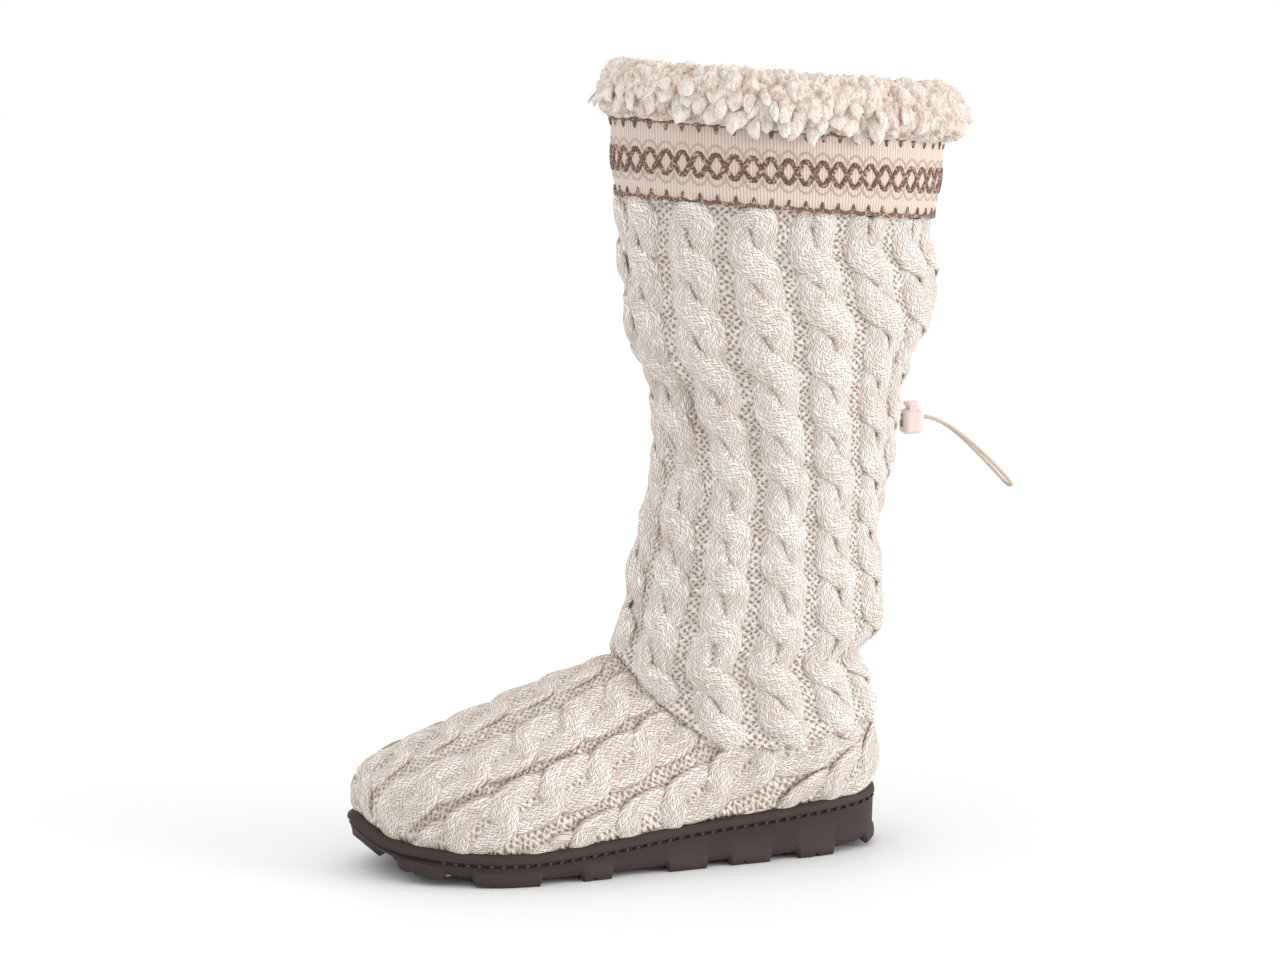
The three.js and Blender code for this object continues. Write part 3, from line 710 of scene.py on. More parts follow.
def maths(tree, operation, *values):
    return node(tree, "ShaderNodeMath", dict(enumerate(values)), operation=operation).outputs[0]


def vector_maths(tree, operation, *values, **named):
    values = {**dict(enumerate(values)), **named}
    return node(tree, "ShaderNodeVectorMath", values, operation=operation).outputs[0]


def noise(tree, place, scale, detail=2.0, roughness=0.5):
    values = {"Vector": place, "Scale": scale, "Detail": detail, "Roughness": roughness}
    return node(tree, "ShaderNodeTexNoise", values).outputs


def cells(tree, place, scale):
    """Distance from the nearest middle of scattered cells."""
    values = {"Vector": place, "Scale": scale}
    return node(tree, "ShaderNodeTexVoronoi", values, feature="F1").outputs["Distance"]


def map_range(tree, *values, **settings):
    """A value moved from one range into another."""
    return node(tree, "ShaderNodeMapRange", dict(enumerate(values)), **settings).outputs[0]


def from_middle(tree, value):
    """How far a value is from the middle between two whole numbers."""
    return maths(tree, "ABSOLUTE", maths(tree, "SUBTRACT", maths(tree, "FRACT", value), 0.5))


def strayed(tree, place, scale, detail, reach):
    """A place moved about by slow noise."""
    stray = vector_maths(tree, "SUBTRACT", noise(tree, place, scale, detail)["Color"], MIDDLE_GREY)
    return vector_maths(tree, "MULTIPLY_ADD", stray, reach, place)


def parts_of(tree, vector):
    return node(tree, "ShaderNodeSeparateXYZ", {0: vector}).outputs


def joined(tree, **values):
    """A vector from its X, Y and Z."""
    return node(tree, "ShaderNodeCombineXYZ", values).outputs[0]


def blend_colour(tree, share, first, second, way="MIX"):
    values = {0: share, 6: first, 7: second}
    return node(tree, "ShaderNodeMix", values, data_type="RGBA", blend_type=way).outputs[2]


def linear(red, green, blue):
    """A colour as a shader takes it, from display values of 0 to 255."""
    parts = [c / 255 for c in (red, green, blue)]
    return tuple(c / 12.92 if c < 0.04045 else ((c + 0.055) / 1.055) ** 2.4 for c in parts) + (1.0,)


def new_group(name, kind, inputs, outputs):
    group = bpy.data.node_groups.new(name, kind)
    for direction, sockets in (("INPUT", inputs), ("OUTPUT", outputs)):
        for socket_name, socket_type in sockets.items():
            group.interface.new_socket(socket_name, in_out=direction, socket_type=socket_type)
    entry = group.nodes.new("NodeGroupInput")
    leave = group.nodes.new("NodeGroupOutput")
    return group, entry.outputs, leave.inputs


def close_shader_group(group, leave, results):
    for name, value in results.items():
        group.links.new(value, leave[name])
    return group


# Effects that materials share
def knit_loops_group():
    """Loops of yarn in wales and courses: their height, and a random tone for each loop."""
    group, entry, leave = new_group(
        "Knit loops", "ShaderNodeTree",
        {"Stitch": VECTOR, "Legs": FLOAT, "Slant": FLOAT, "Parting": FLOAT}, {"Height": FLOAT, "Tone": FLOAT})
    wale, course = parts_of(group, strayed(group, entry["Stitch"], 0.8, 1.0, (0.7, 0.9, 0.0)))[:2]
    legs = maths(group, "MULTIPLY", wale, entry["Legs"])
    row = maths(group, "MULTIPLY_ADD", from_middle(group, wale), entry["Slant"], course)
    across, along = (maths(group, "MULTIPLY", 2.0, from_middle(group, value)) for value in (legs, row))
    ridge = maths(group, "SUBTRACT", 1.0, maths(group, "POWER", along, 2.5))
    parting = maths(group, "MULTIPLY", maths(group, "POWER", across, 2.0), entry["Parting"])
    height = maths(group, "MULTIPLY", ridge, maths(group, "SUBTRACT", 1.0, parting))
    cell = joined(group, X=maths(group, "FLOOR", legs), Y=maths(group, "FLOOR", row))
    tone = node(group, "ShaderNodeTexWhiteNoise", {"Vector": cell}, noise_dimensions="3D")
    return close_shader_group(
        group, leave, {"Height": maths(group, "POWER", height, 0.6), "Tone": tone.outputs["Value"]})


def purl_group():
    """Bumps of the purl side in staggered rows, with a hole between each four of them."""
    group, entry, leave = new_group(
        "Purl bumps", "ShaderNodeTree", {"Stitch": VECTOR}, {"Height": FLOAT, "Tone": FLOAT})
    spot = parts_of(group, strayed(group, entry["Stitch"], 1.1, 1.0, (1.0, 0.9, 0.0)))
    waves = [maths(group, "SINE", maths(group, "MULTIPLY", spot[i], 2 * math.pi)) for i in (0, 1)]
    height = maths(group, "MULTIPLY_ADD", maths(group, "MULTIPLY", *waves), -0.5, 0.5)
    return close_shader_group(
        group, leave, {"Height": height, "Tone": noise(group, entry["Stitch"], 2.6)[0]})


def marl_group():
    """Streaks of two yarn colours twisted together, in patches a few stitches long."""
    group, entry, leave = new_group(
        "Marled yarn", "ShaderNodeTree",
        {"Place": VECTOR, "Stitch": VECTOR, "Tone": FLOAT}, {"Share": FLOAT, "Grey": FLOAT})
    stretch = node(group, "ShaderNodeMapping", {"Vector": entry["Stitch"], "Scale": (2.3, 0.55, 1.0)})
    streak = noise(group, stretch.outputs[0], 1.0)[0]
    patch = noise(group, entry["Place"], 90.0)[0]
    share = maths(group, "MULTIPLY_ADD", streak, 0.9, maths(group, "MULTIPLY", patch, 0.9))
    share = maths(group, "MULTIPLY_ADD", entry["Tone"], 0.6, share)
    return close_shader_group(group, leave, {
        "Share": map_range(group, share, 0.85, 1.6, 0.0, 1.0),
        "Grey": map_range(group, streak, 0.52, 0.7, 0.0, 0.6),
    })


KNIT_LOOPS = knit_loops_group()
PURL_BUMPS = purl_group()
MARL = marl_group()


# Materials
SHAFT_YARNS = linear(255, 251, 246), linear(228, 211, 195)
# The foot's yarns: the shaft's yarns made darker, as painted shade on the foot
SHADED_FOOT_YARNS = linear(249, 242, 234), linear(218, 199, 182)
YARN_GREY = linear(222, 212, 205)
# Painted shade in the gaps between knit loops and in the purl holes
GAP_SHADE = linear(142, 114, 90)
# Painted shade at the edges and underside of a strand, and the distances from its middle, in wales, over
# which it comes in
STRAND_EDGE_SHADE = linear(186, 163, 143)
EDGE_SHADE_WALES = (1.9, 2.6)
# Lining: its pale fleece, and the painted shade between its curls
LINING_PALE = linear(238, 226, 210)
LINING_SHADE = linear(206, 184, 160)
LINING_CURL = 170.0
# Cuff fleece: painted shade in its creases and at the roots of its locks, and its pale tips
FLEECE_SHADE = linear(216, 186, 160)
FLEECE_TIP = linear(255, 246, 236)
RUBBER_DARK = linear(48, 37, 35)
RUBBER_PALE = linear(62, 49, 46)
# Band: painted shade in the grooves between its ribs, and its pale cream
BAND_GROOVE_SHADE = linear(190, 169, 152)
BAND_PALE = linear(236, 222, 210)
FLOOR_GREYS = (0.84, 0.84, 0.84, 1), (0.86, 0.86, 0.865, 1)


def new_material(name, roughness, gloss=0.5, sheen=0.0):
    material = bpy.data.materials.new(name)
    material.use_nodes = True
    shader = material.node_tree.nodes["Principled BSDF"]
    shader.inputs["Roughness"].default_value = roughness
    shader.inputs["Specular IOR Level"].default_value = gloss
    shader.inputs["Sheen Weight"].default_value = sheen
    return material, material.node_tree, shader


def place_of(tree):
    return node(tree, "ShaderNodeTexCoord").outputs["Object"]


def stitch_of(tree):
    return node(tree, "ShaderNodeUVMap", uv_map="Stitch").outputs[0]


def grouped(tree, group, values):
    return node(tree, "ShaderNodeGroup", values, node_tree=group).outputs


def paint(tree, shader, colour, height, distance, strength=1.0):
    """Gives a finish its colour and its bumps."""
    tree.links.new(colour, shader.inputs["Base Color"])
    bump = node(tree, "ShaderNodeBump", {"Height": height, "Distance": distance, "Strength": strength})
    tree.links.new(bump.outputs[0], shader.inputs["Normal"])


def knit_material(name, loops_of, yarns, gap, shade, bump, edges=0.0):
    """Marled knit. loops_of adds the loops, which get painted shade below the height gap, and edges is
    how far a strand gets painted shade at its edges."""
    material, tree, shader = new_material(name, 0.9, gloss=0.2, sheen=0.25)
    stitch = stitch_of(tree)
    loops = loops_of(tree, stitch)
    marl = grouped(tree, MARL, {"Place": place_of(tree), "Stitch": stitch, "Tone": loops["Tone"]})
    colour = blend_colour(tree, marl["Share"], *yarns)
    colour = blend_colour(tree, marl["Grey"], colour, YARN_GREY)
    # Painted shade in the gaps between loops, below the height gap
    deep = map_range(tree, loops["Height"], 0.0, gap, shade, 0.0)
    colour = blend_colour(tree, deep, colour, GAP_SHADE)
    # Painted shade at a strand's edges and underside
    if edges:
        away = maths(tree, "SUBTRACT", parts_of(tree, stitch)[0], STRAND_WALES / 2)
        away = maths(tree, "ABSOLUTE", away)
        edge_shade = map_range(tree, away, *EDGE_SHADE_WALES, 0.0, edges, interpolation_type="SMOOTHSTEP")
        colour = blend_colour(tree, edge_shade, colour, STRAND_EDGE_SHADE, "MULTIPLY")
    paint(tree, shader, colour, loops["Height"], bump)
    return material


def cable_loops(tree, stitch):
    return grouped(tree, KNIT_LOOPS, {"Stitch": stitch, "Legs": 2.0, "Slant": 1.9, "Parting": 0.6})


def purl_loops(tree, stitch):
    return grouped(tree, PURL_BUMPS, {"Stitch": stitch})


def lining_material():
    """Short fleece in curls, with painted shade between them."""
    material, tree, shader = new_material("Fleece lining", 1.0, gloss=0.1, sheen=0.4)
    place = place_of(tree)
    away = cells(tree, place, LINING_CURL)
    hair = noise(tree, place, 900.0, 3.0)[0]
    height = maths(tree, "MULTIPLY_ADD", hair, 0.35, maths(tree, "SUBTRACT", 1.0, away))
    share = map_range(tree, away, 0.2, 0.8, 0.0, 0.8)
    paint(tree, shader, blend_colour(tree, share, LINING_PALE, LINING_SHADE), height, 0.002)
    return material


def lock_fleece_material():
    """Fleece of the cuff: painted shade, warm and deep, in the creases and at the roots, pale on the clumps
    and tips, with random tone and hair streaks.
    """
    material, tree, shader = new_material("Fleece locks", 1.0, gloss=0.1, sheen=0.3)
    tip, tone = (
        node(tree, "ShaderNodeAttribute", attribute_name=name).outputs["Fac"] for name in ("tip", "tone")
    )
    hanging = node(tree, "ShaderNodeMapping", {"Vector": place_of(tree), "Scale": (1.0, 1.0, 0.45)})
    hair = noise(tree, hanging.outputs[0], 620.0, 3.0, 0.6)[0]
    share = maths(tree, "MULTIPLY_ADD", tone, 0.15, maths(tree, "MULTIPLY", tip, 0.6))
    share = maths(tree, "MULTIPLY_ADD", maths(tree, "SUBTRACT", hair, 0.5), 1.3, share)
    share = map_range(tree, share, -0.1, 0.65, 0.0, 1.0)
    paint(tree, shader, blend_colour(tree, share, FLEECE_SHADE, FLEECE_TIP), hair, 0.0035)
    return material


def rubber_material():
    material, tree, shader = new_material("Sole rubber", 0.55, gloss=0.35)
    place = place_of(tree)
    cloud = noise(tree, place, 45.0, 4.0)[0]
    grain = noise(tree, place, 1600.0)[0]
    tree.links.new(map_range(tree, cloud, 0.3, 0.7, 0.58, 0.72), shader.inputs["Roughness"])
    paint(tree, shader, blend_colour(tree, cloud, RUBBER_DARK, RUBBER_PALE), grain, 0.0003, 0.6)
    return material


def twist_material(name, pale, deep, pitch, roughness=0.85, fleck=None):
    """Plied yarn or thread: slanting plies along its length and round, with painted shade in the grooves
    between the plies, random clouds of tone, and flecks if it has any.
    """
    material, tree, shader = new_material(name, roughness, gloss=0.25, sheen=0.2)
    spot = parts_of(tree, stitch_of(tree))
    turn = maths(tree, "MULTIPLY_ADD", spot[1], 1.0 / pitch, maths(tree, "MULTIPLY", spot[0], 2.0))
    ply = maths(tree, "SUBTRACT", 1.0, maths(tree, "MULTIPLY", from_middle(tree, turn), 2.0))
    cloud = noise(tree, place_of(tree), 700.0)[0]
    # deep is reached in the grooves between plies, as painted shade, and in random clouds of tone
    share = maths(tree, "MULTIPLY_ADD", cloud, 0.8, maths(tree, "MULTIPLY_ADD", ply, 0.7, -0.35))
    colour = blend_colour(tree, share, deep, pale)
    if fleck is not None:
        spots = map_range(tree, cloud, 0.54, 0.64, 0.0, 0.8)
        colour = blend_colour(tree, spots, colour, fleck)
    paint(tree, shader, colour, ply, 0.0003)
    return material


def band_material():
    """Woven cream band with fine upright ribs, and painted shade in the grooves between ribs and picks."""
    material, tree, shader = new_material("Band ribs", 0.85, gloss=0.2, sheen=0.2)
    spot = parts_of(tree, stitch_of(tree))
    rib, pick = (from_middle(tree, spot[i]) for i in (0, 1))
    depth = maths(tree, "MULTIPLY_ADD", pick, 0.4, maths(tree, "MULTIPLY", rib, 1.6))
    height = maths(tree, "SUBTRACT", 1.0, depth)
    paint(tree, shader, blend_colour(tree, height, BAND_GROOVE_SHADE, BAND_PALE), height, 0.0004)
    return material


def plastic_material(name, tint):
    material, tree, shader = new_material(name, 0.38)
    cloud = noise(tree, place_of(tree), 500.0, 3.0)[0]
    tree.links.new(map_range(tree, cloud, 0.3, 0.7, 0.32, 0.46), shader.inputs["Roughness"])
    faded = tuple(c * 0.94 for c in tint[:3]) + (1.0,)
    paint(tree, shader, blend_colour(tree, cloud, tint, faded), cloud, 0.0001, 0.3)
    return material


def floor_material():
    material, tree, shader = new_material("Pale floor", 0.6, gloss=0.1)
    cloud = noise(tree, place_of(tree), 3.0)[0]
    tree.links.new(blend_colour(tree, cloud, *FLOOR_GREYS), shader.inputs["Base Color"])
    return material


# gap and shade set the painted shade between the loops, edges the painted shade at a strand's edges
CABLE_LOOK = {"gap": 0.56, "shade": 0.62, "bump": 0.0010, "edges": 0.5}
CABLE_KNIT = knit_material("Cable stitches", cable_loops, SHAFT_YARNS, **CABLE_LOOK)
FOOT_CABLE_KNIT = knit_material("Foot cable stitches", cable_loops, SHADED_FOOT_YARNS, **CABLE_LOOK)
PURL_KNIT = knit_material("Purl stitches", purl_loops, SHAFT_YARNS, gap=0.54, shade=1.0, bump=0.0019)
FOOT_PURL_KNIT = knit_material("Foot purl stitches", purl_loops, SHADED_FOOT_YARNS, gap=0.5, shade=0.9, bump=0.0019)
LINING = lining_material()
LOCKS = lock_fleece_material()
RUBBER = rubber_material()
# For a plied yarn, the second colour is the painted shade between its plies, which random clouds of tone also
# reach
SOLE_THREAD = twist_material("Sole thread", linear(98, 84, 78), linear(64, 52, 48), 1.2)
BAND_RIBS = band_material()
BROWN_YARN = twist_material(
    "Brown yarn", linear(146, 114, 98), linear(92, 66, 54), 1.6, fleck=linear(206, 182, 164))
GREY_YARN = twist_material("Grey yarn", linear(208, 191, 177), linear(180, 162, 148), 1.2)
CORD_BRAID = twist_material("Cord braid", linear(233, 214, 193), linear(197, 175, 154), 0.9, 0.7)
LOCK_PLASTIC = plastic_material("Lock plastic", linear(228, 209, 203))
BUTTON_PLASTIC = plastic_material("Button plastic", linear(231, 213, 207))


# Camera
def make_camera():
    data = bpy.data.cameras.new("Camera")
    data.lens = CAMERA_LENS
    data.sensor_width = CAMERA_SENSOR
    camera = add_object("Camera", data)
    camera.location = CAMERA_PLACE
    camera.rotation_euler = CAMERA_TURN
    bpy.context.scene.camera = camera


# Drawcord and cord lock
def cord_route():
    """The loop's path: out of the knit, round its far end and back on the other side."""
    groove = shaft_point(math.pi, CORD_ROUTE[0][2], -CORD_GROOVE)[0]
    strand = np.array([(groove - 2 * SEAM_GAP, *CORD_ROUTE[0][1:]), *CORD_ROUTE])
    bend = math.pi * (np.arange(LOOP_TURN_POINTS) + 1) / (LOOP_TURN_POINTS + 1)
    tip = strand[-1] * (1, 0, 1) + np.outer(LOOP_RADIUS * np.cos(bend), (0, 1, 0))
    turn = tip + LOOP_DIRECTION * (LOOP_RADIUS * np.sin(bend))[:, None]
    back = (strand * (1, -1, 1))[::-1]
    route = through_points(np.vstack([strand, turn, back]), False, CORD_STEPS)
    reach = path_reach(route)
    out = smoothstep(1 - np.abs(2 * reach / reach[-1] - 1), *LOOP_TWIST_FADE)
    route[:, 2] += LOOP_TWIST * np.tanh(route[:, 1] / LOOP_TWIST_SPAN) * out
    return route


def make_drawcord(with_pieces):
    route = cord_route()
    tangent = unit(np.gradient(route, axis=0))
    side = np.cross(tangent, np.broadcast_to(CORD_UP, tangent.shape))
    piece = Piece()
    yarn(piece, route, np.cross(side, tangent), CORD_DIAMETER / 2, CORD_SIDES)
    cord = dress(piece.build("drawcord_braid", [CORD_BRAID]), "cord", "drawcord")


def finish_cord_lock():
    """Gives the barrel and the button their finishes. Their solids stay as they are."""
    solids = [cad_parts[name] for name in ("cord_lock_barrel", "cord_lock_button")]
    for solid, material in zip(solids, (LOCK_PLASTIC, BUTTON_PLASTIC)):
        solid.data.materials.clear()
        solid.data.materials.append(material)
    return solids


# Rubber sole
def lug_share(x):
    """1 on a lug and 0 between two."""
    share = np.zeros_like(x)
    for start, end, notch in LUGS:
        share = np.maximum(share, np.clip((x - start) / LUG_RAMP, 0, 1) * np.clip((end - x) / LUG_RAMP, 0, 1))
    return share


def notch_lift(x):
    lift = np.zeros_like(x)
    for start, end, notch in LUGS:
        if notch is not None:
            near = 1 - np.abs(x - notch) / NOTCH_REACH
            lift = np.maximum(lift, NOTCH_DEPTH * np.clip(NOTCH_SLOPE * near, 0, 1))
    return lift


def sole_stations():
    """Places along the sole, close at both ends and at every edge of a lug."""
    edges = [SOLE_LENGTH * (1 - np.cos(np.linspace(0, math.pi, SOLE_STEPS))) / 2]
    for start, end, notch in LUGS:
        edges += [[start, start + LUG_RAMP, end - LUG_RAMP, end]]
        if notch is not None:
            edges += [notch + NOTCH_REACH * np.array([-1, -0.4, 0, 0.4, 1])]
    x = np.unique(np.round(np.concatenate(edges), 2))
    return x[(x > SOLE_END) & (x < SOLE_LENGTH - SOLE_END)]


def toe_bumper(x, inset):
    """How far the rubber stands out round the toe, fading towards the knit."""
    return TOE_BUMPER * smoothstep(x, BUMPER_START, SOLE_LENGTH) * np.clip(1 - inset / RIM_WIDTH, 0, 1)


def make_outsole():
    x = sole_stations()
    share = np.concatenate([plan_share(x, INNER_ROWS), plan_share(x, OUTER_ROWS)[::-1]])
    along = np.concatenate([x, x[::-1]])
    lug, lift = lug_share(along), notch_lift(along)
    tread, feather = tread_height(along), feather_height(along)
    bevel_in = TOE_BEVEL * smoothstep(along, BEVEL_START, SOLE_LENGTH)
    walls = []
    for gap_inset, lug_inset, gap_height, lug_height in LUG_FACE:
        fade = np.clip(1 - lug_height / LUG_DEPTH, 0, 1)
        bevel = 1 - smoothstep(lug_height, *BEVEL_HEIGHTS)
        walls.append((lerp(gap_inset, lug_inset, lug) + bevel * bevel_in,
                      tread + lerp(gap_height, lug_height, lug) + lift * lug * fade))
    for inset, depth in RIM_FACE:
        if depth > GROOVE_TOP:
            inset = lerp(inset, min(inset, TOE_GROOVE_INSET), smoothstep(along, *TOE_GROOVE))
        walls.append((inset, feather - depth))
    rows = [np.column_stack([sole_loop(share, inset - toe_bumper(along, inset)), z]) for inset, z in walls]
    piece = Piece()
    index = piece.grid(np.array(rows))
    for row, flip in ((0, True), (-1, False)):
        ladder(piece, rows[row], index[row, :-1], flip)
    dress(piece.build("outsole_rubber", [RUBBER], sharp=SOLE_CREASE), "rubber", "outsole")


def ladder(piece, loop, index, flip):
    """Closes a loop of the sole with rungs from the inner to the outer side."""
    half = len(loop) // 2
    inner, outer = loop[:half], loop[half:][::-1]
    share = np.linspace(0, 1, TREAD_COLUMNS)[1:-1]
    inside = piece.add(inner[:, None] + (outer - inner)[:, None] * share[:, None])
    full = np.column_stack([index[:half], inside, index[half:][::-1]])
    quads = quads_of(full)[..., [0, 3, 2, 1]].reshape(-1, 4)
    piece.faces(quads[:, ::-1] if flip else quads)
    for end in (full[0], full[-1][::-1]):
        piece.cap(end[::-1] if flip else end)


# Geometry nodes
def geometry_group(name, inputs):
    geometry = {"Geometry": "NodeSocketGeometry"}
    inputs = {**geometry, **inputs, "Material": "NodeSocketMaterial"}
    return new_group(name, "GeometryNodeTree", inputs, geometry)


def close_group(group, entry, leave, geometry):
    """Realizes the copies and gives them their material."""
    real = node(group, "GeometryNodeRealizeInstances", {0: geometry})
    smooth = node(group, "GeometryNodeSetShadeSmooth", {0: real.outputs[0]})
    finish = {"Geometry": smooth.outputs[0], "Material": entry["Material"]}
    group.links.new(node(group, "GeometryNodeSetMaterial", finish).outputs[0], leave[0])
    return group


def attribute(group, name, kind="FLOAT"):
    return node(group, "GeometryNodeInputNamedAttribute", {"Name": name}, data_type=kind).outputs[0]


def marked(group, geometry, name, value, domain="POINT"):
    """Geometry with a named value on it, for its material to read."""
    values = {"Geometry": geometry, "Name": name, "Value": value}
    made = node(group, "GeometryNodeStoreNamedAttribute", values, data_type="FLOAT", domain=domain)
    return made.outputs[0]


def bent_line(group, steps, start, middle, end):
    values = {"Resolution": steps, "Start": start, "Middle": middle, "End": end}
    return node(group, "GeometryNodeCurveQuadraticBezier", values).outputs[0]


def ring(group, sides):
    return node(group, "GeometryNodeCurvePrimitiveCircle", {"Resolution": sides, "Radius": 1.0}).outputs[0]


def tube(group, line, section, thick):
    values = {"Curve": line, "Profile Curve": section, "Scale": thick, "Fill Caps": True}
    return node(group, "GeometryNodeCurveToMesh", values).outputs[0]


def grow(name, source, group, values):
    """Runs a tree on a source object and keeps the result as one plain mesh piece."""
    modifier = source.modifiers.new(group.name, "NODES")
    modifier.node_group = group
    for item in group.interface.items_tree:
        if item.item_type == "SOCKET" and item.in_out == "INPUT" and item.name in values:
            modifier[item.identifier] = values[item.name]
    shown = bpy.context.evaluated_depsgraph_get()
    mesh = bpy.data.meshes.new_from_object(source.evaluated_get(shown), depsgraph=shown)
    mesh.name = name
    bpy.data.objects.remove(source)
    return add_object(name, mesh)


def path_object(name, points):
    """A polyline to run a tree on."""
    data = bpy.data.curves.new(name, "CURVE")
    data.dimensions = "3D"
    line = data.splines.new("POLY")
    line.points.add(len(points) - 1)
    spots = np.column_stack([points * MM + HEEL, np.ones(len(points))])
    line.points.foreach_set("co", spots.astype(np.float32).ravel())
    return add_object(name, data)


def stitch_row_tree():
    """Stitches laid end to end along a seam."""
    group, entry, leave = geometry_group("Stitch row", {"Pitch": FLOAT, "Length": FLOAT, "Radius": FLOAT})
    row = {"Curve": entry["Geometry"], "Length": entry["Pitch"]}
    spots = node(group, "GeometryNodeCurveToPoints", row, mode="LENGTH").outputs
    half = maths(group, "MULTIPLY", entry["Length"], 0.5)
    start = joined(group, Z=maths(group, "MULTIPLY", half, -1.0))
    line = bent_line(group, 6, start, joined(group, X=entry["Radius"]), joined(group, Z=half))
    where = node(group, "GeometryNodeSplineParameter").outputs["Factor"]
    dome = maths(group, "POWER", maths(group, "SINE", maths(group, "MULTIPLY_ADD", where, 2.7, 0.22)), 0.5)
    shape = tube(group, line, ring(group, 6), maths(group, "MULTIPLY", dome, entry["Radius"]))
    values = {"Points": spots["Points"], "Instance": shape, "Rotation": spots["Rotation"]}
    copies = node(group, "GeometryNodeInstanceOnPoints", values)
    return close_group(group, entry, leave, copies.outputs[0])


def make_sole_stitches():
    """Thread in the groove under the rim, from the ball round the heel to the ball."""
    first, last = plan_share(STITCH_END, OUTER_ROWS), 1 + plan_share(STITCH_END, INNER_ROWS)
    plan = sole_loop(np.linspace(first, last, STITCH_POINTS), STITCH_INSET)
    line = path_object("groove", np.column_stack([plan, feather_height(plan[:, 0]) - STITCH_DEPTH]))
    made = grow("sole_stitches", line, stitch_row_tree(), {**STITCH_SIZES, "Material": SOLE_THREAD})
    dress(made, "rubber")


# Insole
def make_insole():
    share = round_shares(INSOLE_COLUMNS)[:-1]
    rows = []
    for extra, rise in INSOLE_SECTION:
        plan = sole_loop(share, RIM_WIDTH + WALL + 3 * SEAM_GAP + extra)
        rows.append(np.column_stack([plan, feather_height(plan[:, 0]) + rise]))
    piece = Piece()
    index = piece.grid(np.array(rows))
    strip(piece, index[0, :-1], True)
    strip(piece, index[-1, :-1], False)
    dress(piece.build("insole_pile", [LINING]), "insole_fleece", "insole")


def strip(piece, loop, flip):
    """Closes an even loop with quads from side to side."""
    half = len(loop) // 2
    i = np.arange(1, half - 1)
    quads = np.stack([loop[i], loop[i + 1], loop[-i - 1], loop[-i]], -1)
    piece.faces(quads[:, ::-1] if flip else quads)
    for tip in (loop[[0, 1, -1]], loop[half - 1: half + 2]):
        piece.cap(tip[::-1] if flip else tip)


# Knit strands: a section rounded on top and flat underneath, and the wales across it
SECTION_TOP = 14
SECTION_TURN = math.pi * np.arange(SECTION_TOP + 1) / SECTION_TOP
SECTION_ACROSS = np.concatenate([np.cos(SECTION_TURN), [-0.6, 0.0, 0.6]])
SECTION_WALES = np.concatenate([STRAND_WALES / 2 * (1 - np.cos(SECTION_TURN)), [5.5, 6.0, 6.5, 7.0]])
SECTION_OUT = np.concatenate([np.sin(SECTION_TURN) ** 0.9, [-0.15, -0.2, -0.15]])


def cable_path(along, side):
    """Sideways place and lift of one strand of a cable, which crosses over as it goes along."""
    phase = math.pi * along / CROSSING + (0 if side > 0 else math.pi)
    across = -np.tanh(CROSSING_SNAP * np.cos(phase)) / math.tanh(CROSSING_SNAP)
    return across, np.sin(phase)


def add_strand(piece, points, normals, half, thick, roll, shift, sag):
    """A rounded strand of the knit along points, whose edges sag towards the ground."""
    across = SECTION_ACROSS * half[:, None]
    out = np.broadcast_to(SECTION_OUT * thick - sag * SECTION_ACROSS ** 2, across.shape)
    cos, sin = np.cos(roll)[:, None], np.sin(roll)[:, None]
    section = np.stack([across * cos - out * sin, across * sin + out * cos], -1)
    reach = path_reach(points) / CABLE_COURSE + shift
    sweep(piece, points, normals, section, pairs(SECTION_WALES, reach))


def add_wall(piece, outside, coords, inside):
    """A wall of knit with its lining, closed at both ends. inside runs back from the top."""
    knit = piece.grid(outside[:, :-1], coords, finish=1)
    lining = piece.grid(inside[:, :-1], finish=2)
    piece.join(knit[-1], lining[0], 2)
    piece.join(lining[-1], knit[0], 2)


# Knitted shaft
def shaft_normal(angle, z, nudge=0.01):
    round_way = knit_point(angle + nudge, z, 0) - knit_point(angle - nudge, z, 0)
    up_way = knit_point(angle, z + 1, 0) - knit_point(angle, z - 1, 0)
    return unit(np.cross(round_way, up_way))


def make_shaft():
    share = round_shares(SHAFT_COLUMNS)
    angle = angle_at(share)
    rise = np.linspace(0, 1, SHAFT_ROWS)[:, None]
    z = lerp(seam_height(angle), band_low(angle) - KNIT_UNDER_BAND, rise)
    angle = angle_at(knit_share(share, z))
    z = lerp(seam_height(angle) - SEAM_ROLL, band_low(angle) - KNIT_UNDER_BAND, rise)
    above = z - seam_height(angle)
    roll = smoothstep(above, -SEAM_ROLL, 0.0) * (1 - smoothstep(above, *SEAM_ROLL_END))
    from_cable = np.abs(np.mod(share * CABLES, 1) - 0.5) * CABLE_PITCH
    raised = CABLE_GROUND * (1 - smoothstep(from_cable, *CABLE_GROUND_EDGE)) * (1 - roll)
    lip = (GROUND_DEPTH - SEAM_TUCK + SEAM_LIP) * roll
    ground = knit_point(angle, z, -GROUND_DEPTH + raised + lip + seam_flare(angle, above))
    inside = knit_point(angle, z, -KNIT_INSIDE)
    inside[0] = shaft_point(angle[0], seam_height(angle[0]), -SEAM_TUCK - WALL)
    angle = angle[-1]
    low, high = band_low(angle), collar_height(angle)
    behind = -BAND_THICKNESS - BAND_CLEAR
    heights = (low - KNIT_STEP, lerp(low, high, 0.5), high)
    top = [shaft_point(angle, height, behind - collar_dent(angle, height)) for height in heights]
    rim = shaft_point(angle, high, -KNIT_INSIDE - collar_dent(angle, high))
    outside = np.concatenate([ground, top])
    coords = np.stack(np.broadcast_arrays(share * SHAFT_PURLS, outside[..., 2] / PURL_COURSE), -1)
    piece = Piece()
    add_wall(piece, outside, coords, np.concatenate([rim[None], inside[::-1]]))
    for cable in range(CABLES):
        for side in (1, -1):
            add_shaft_strand(piece, cable, side)
    dress(piece.build("shaft_cables", [CABLE_KNIT, PURL_KNIT, LINING]), "shaft_knit", "shaft")


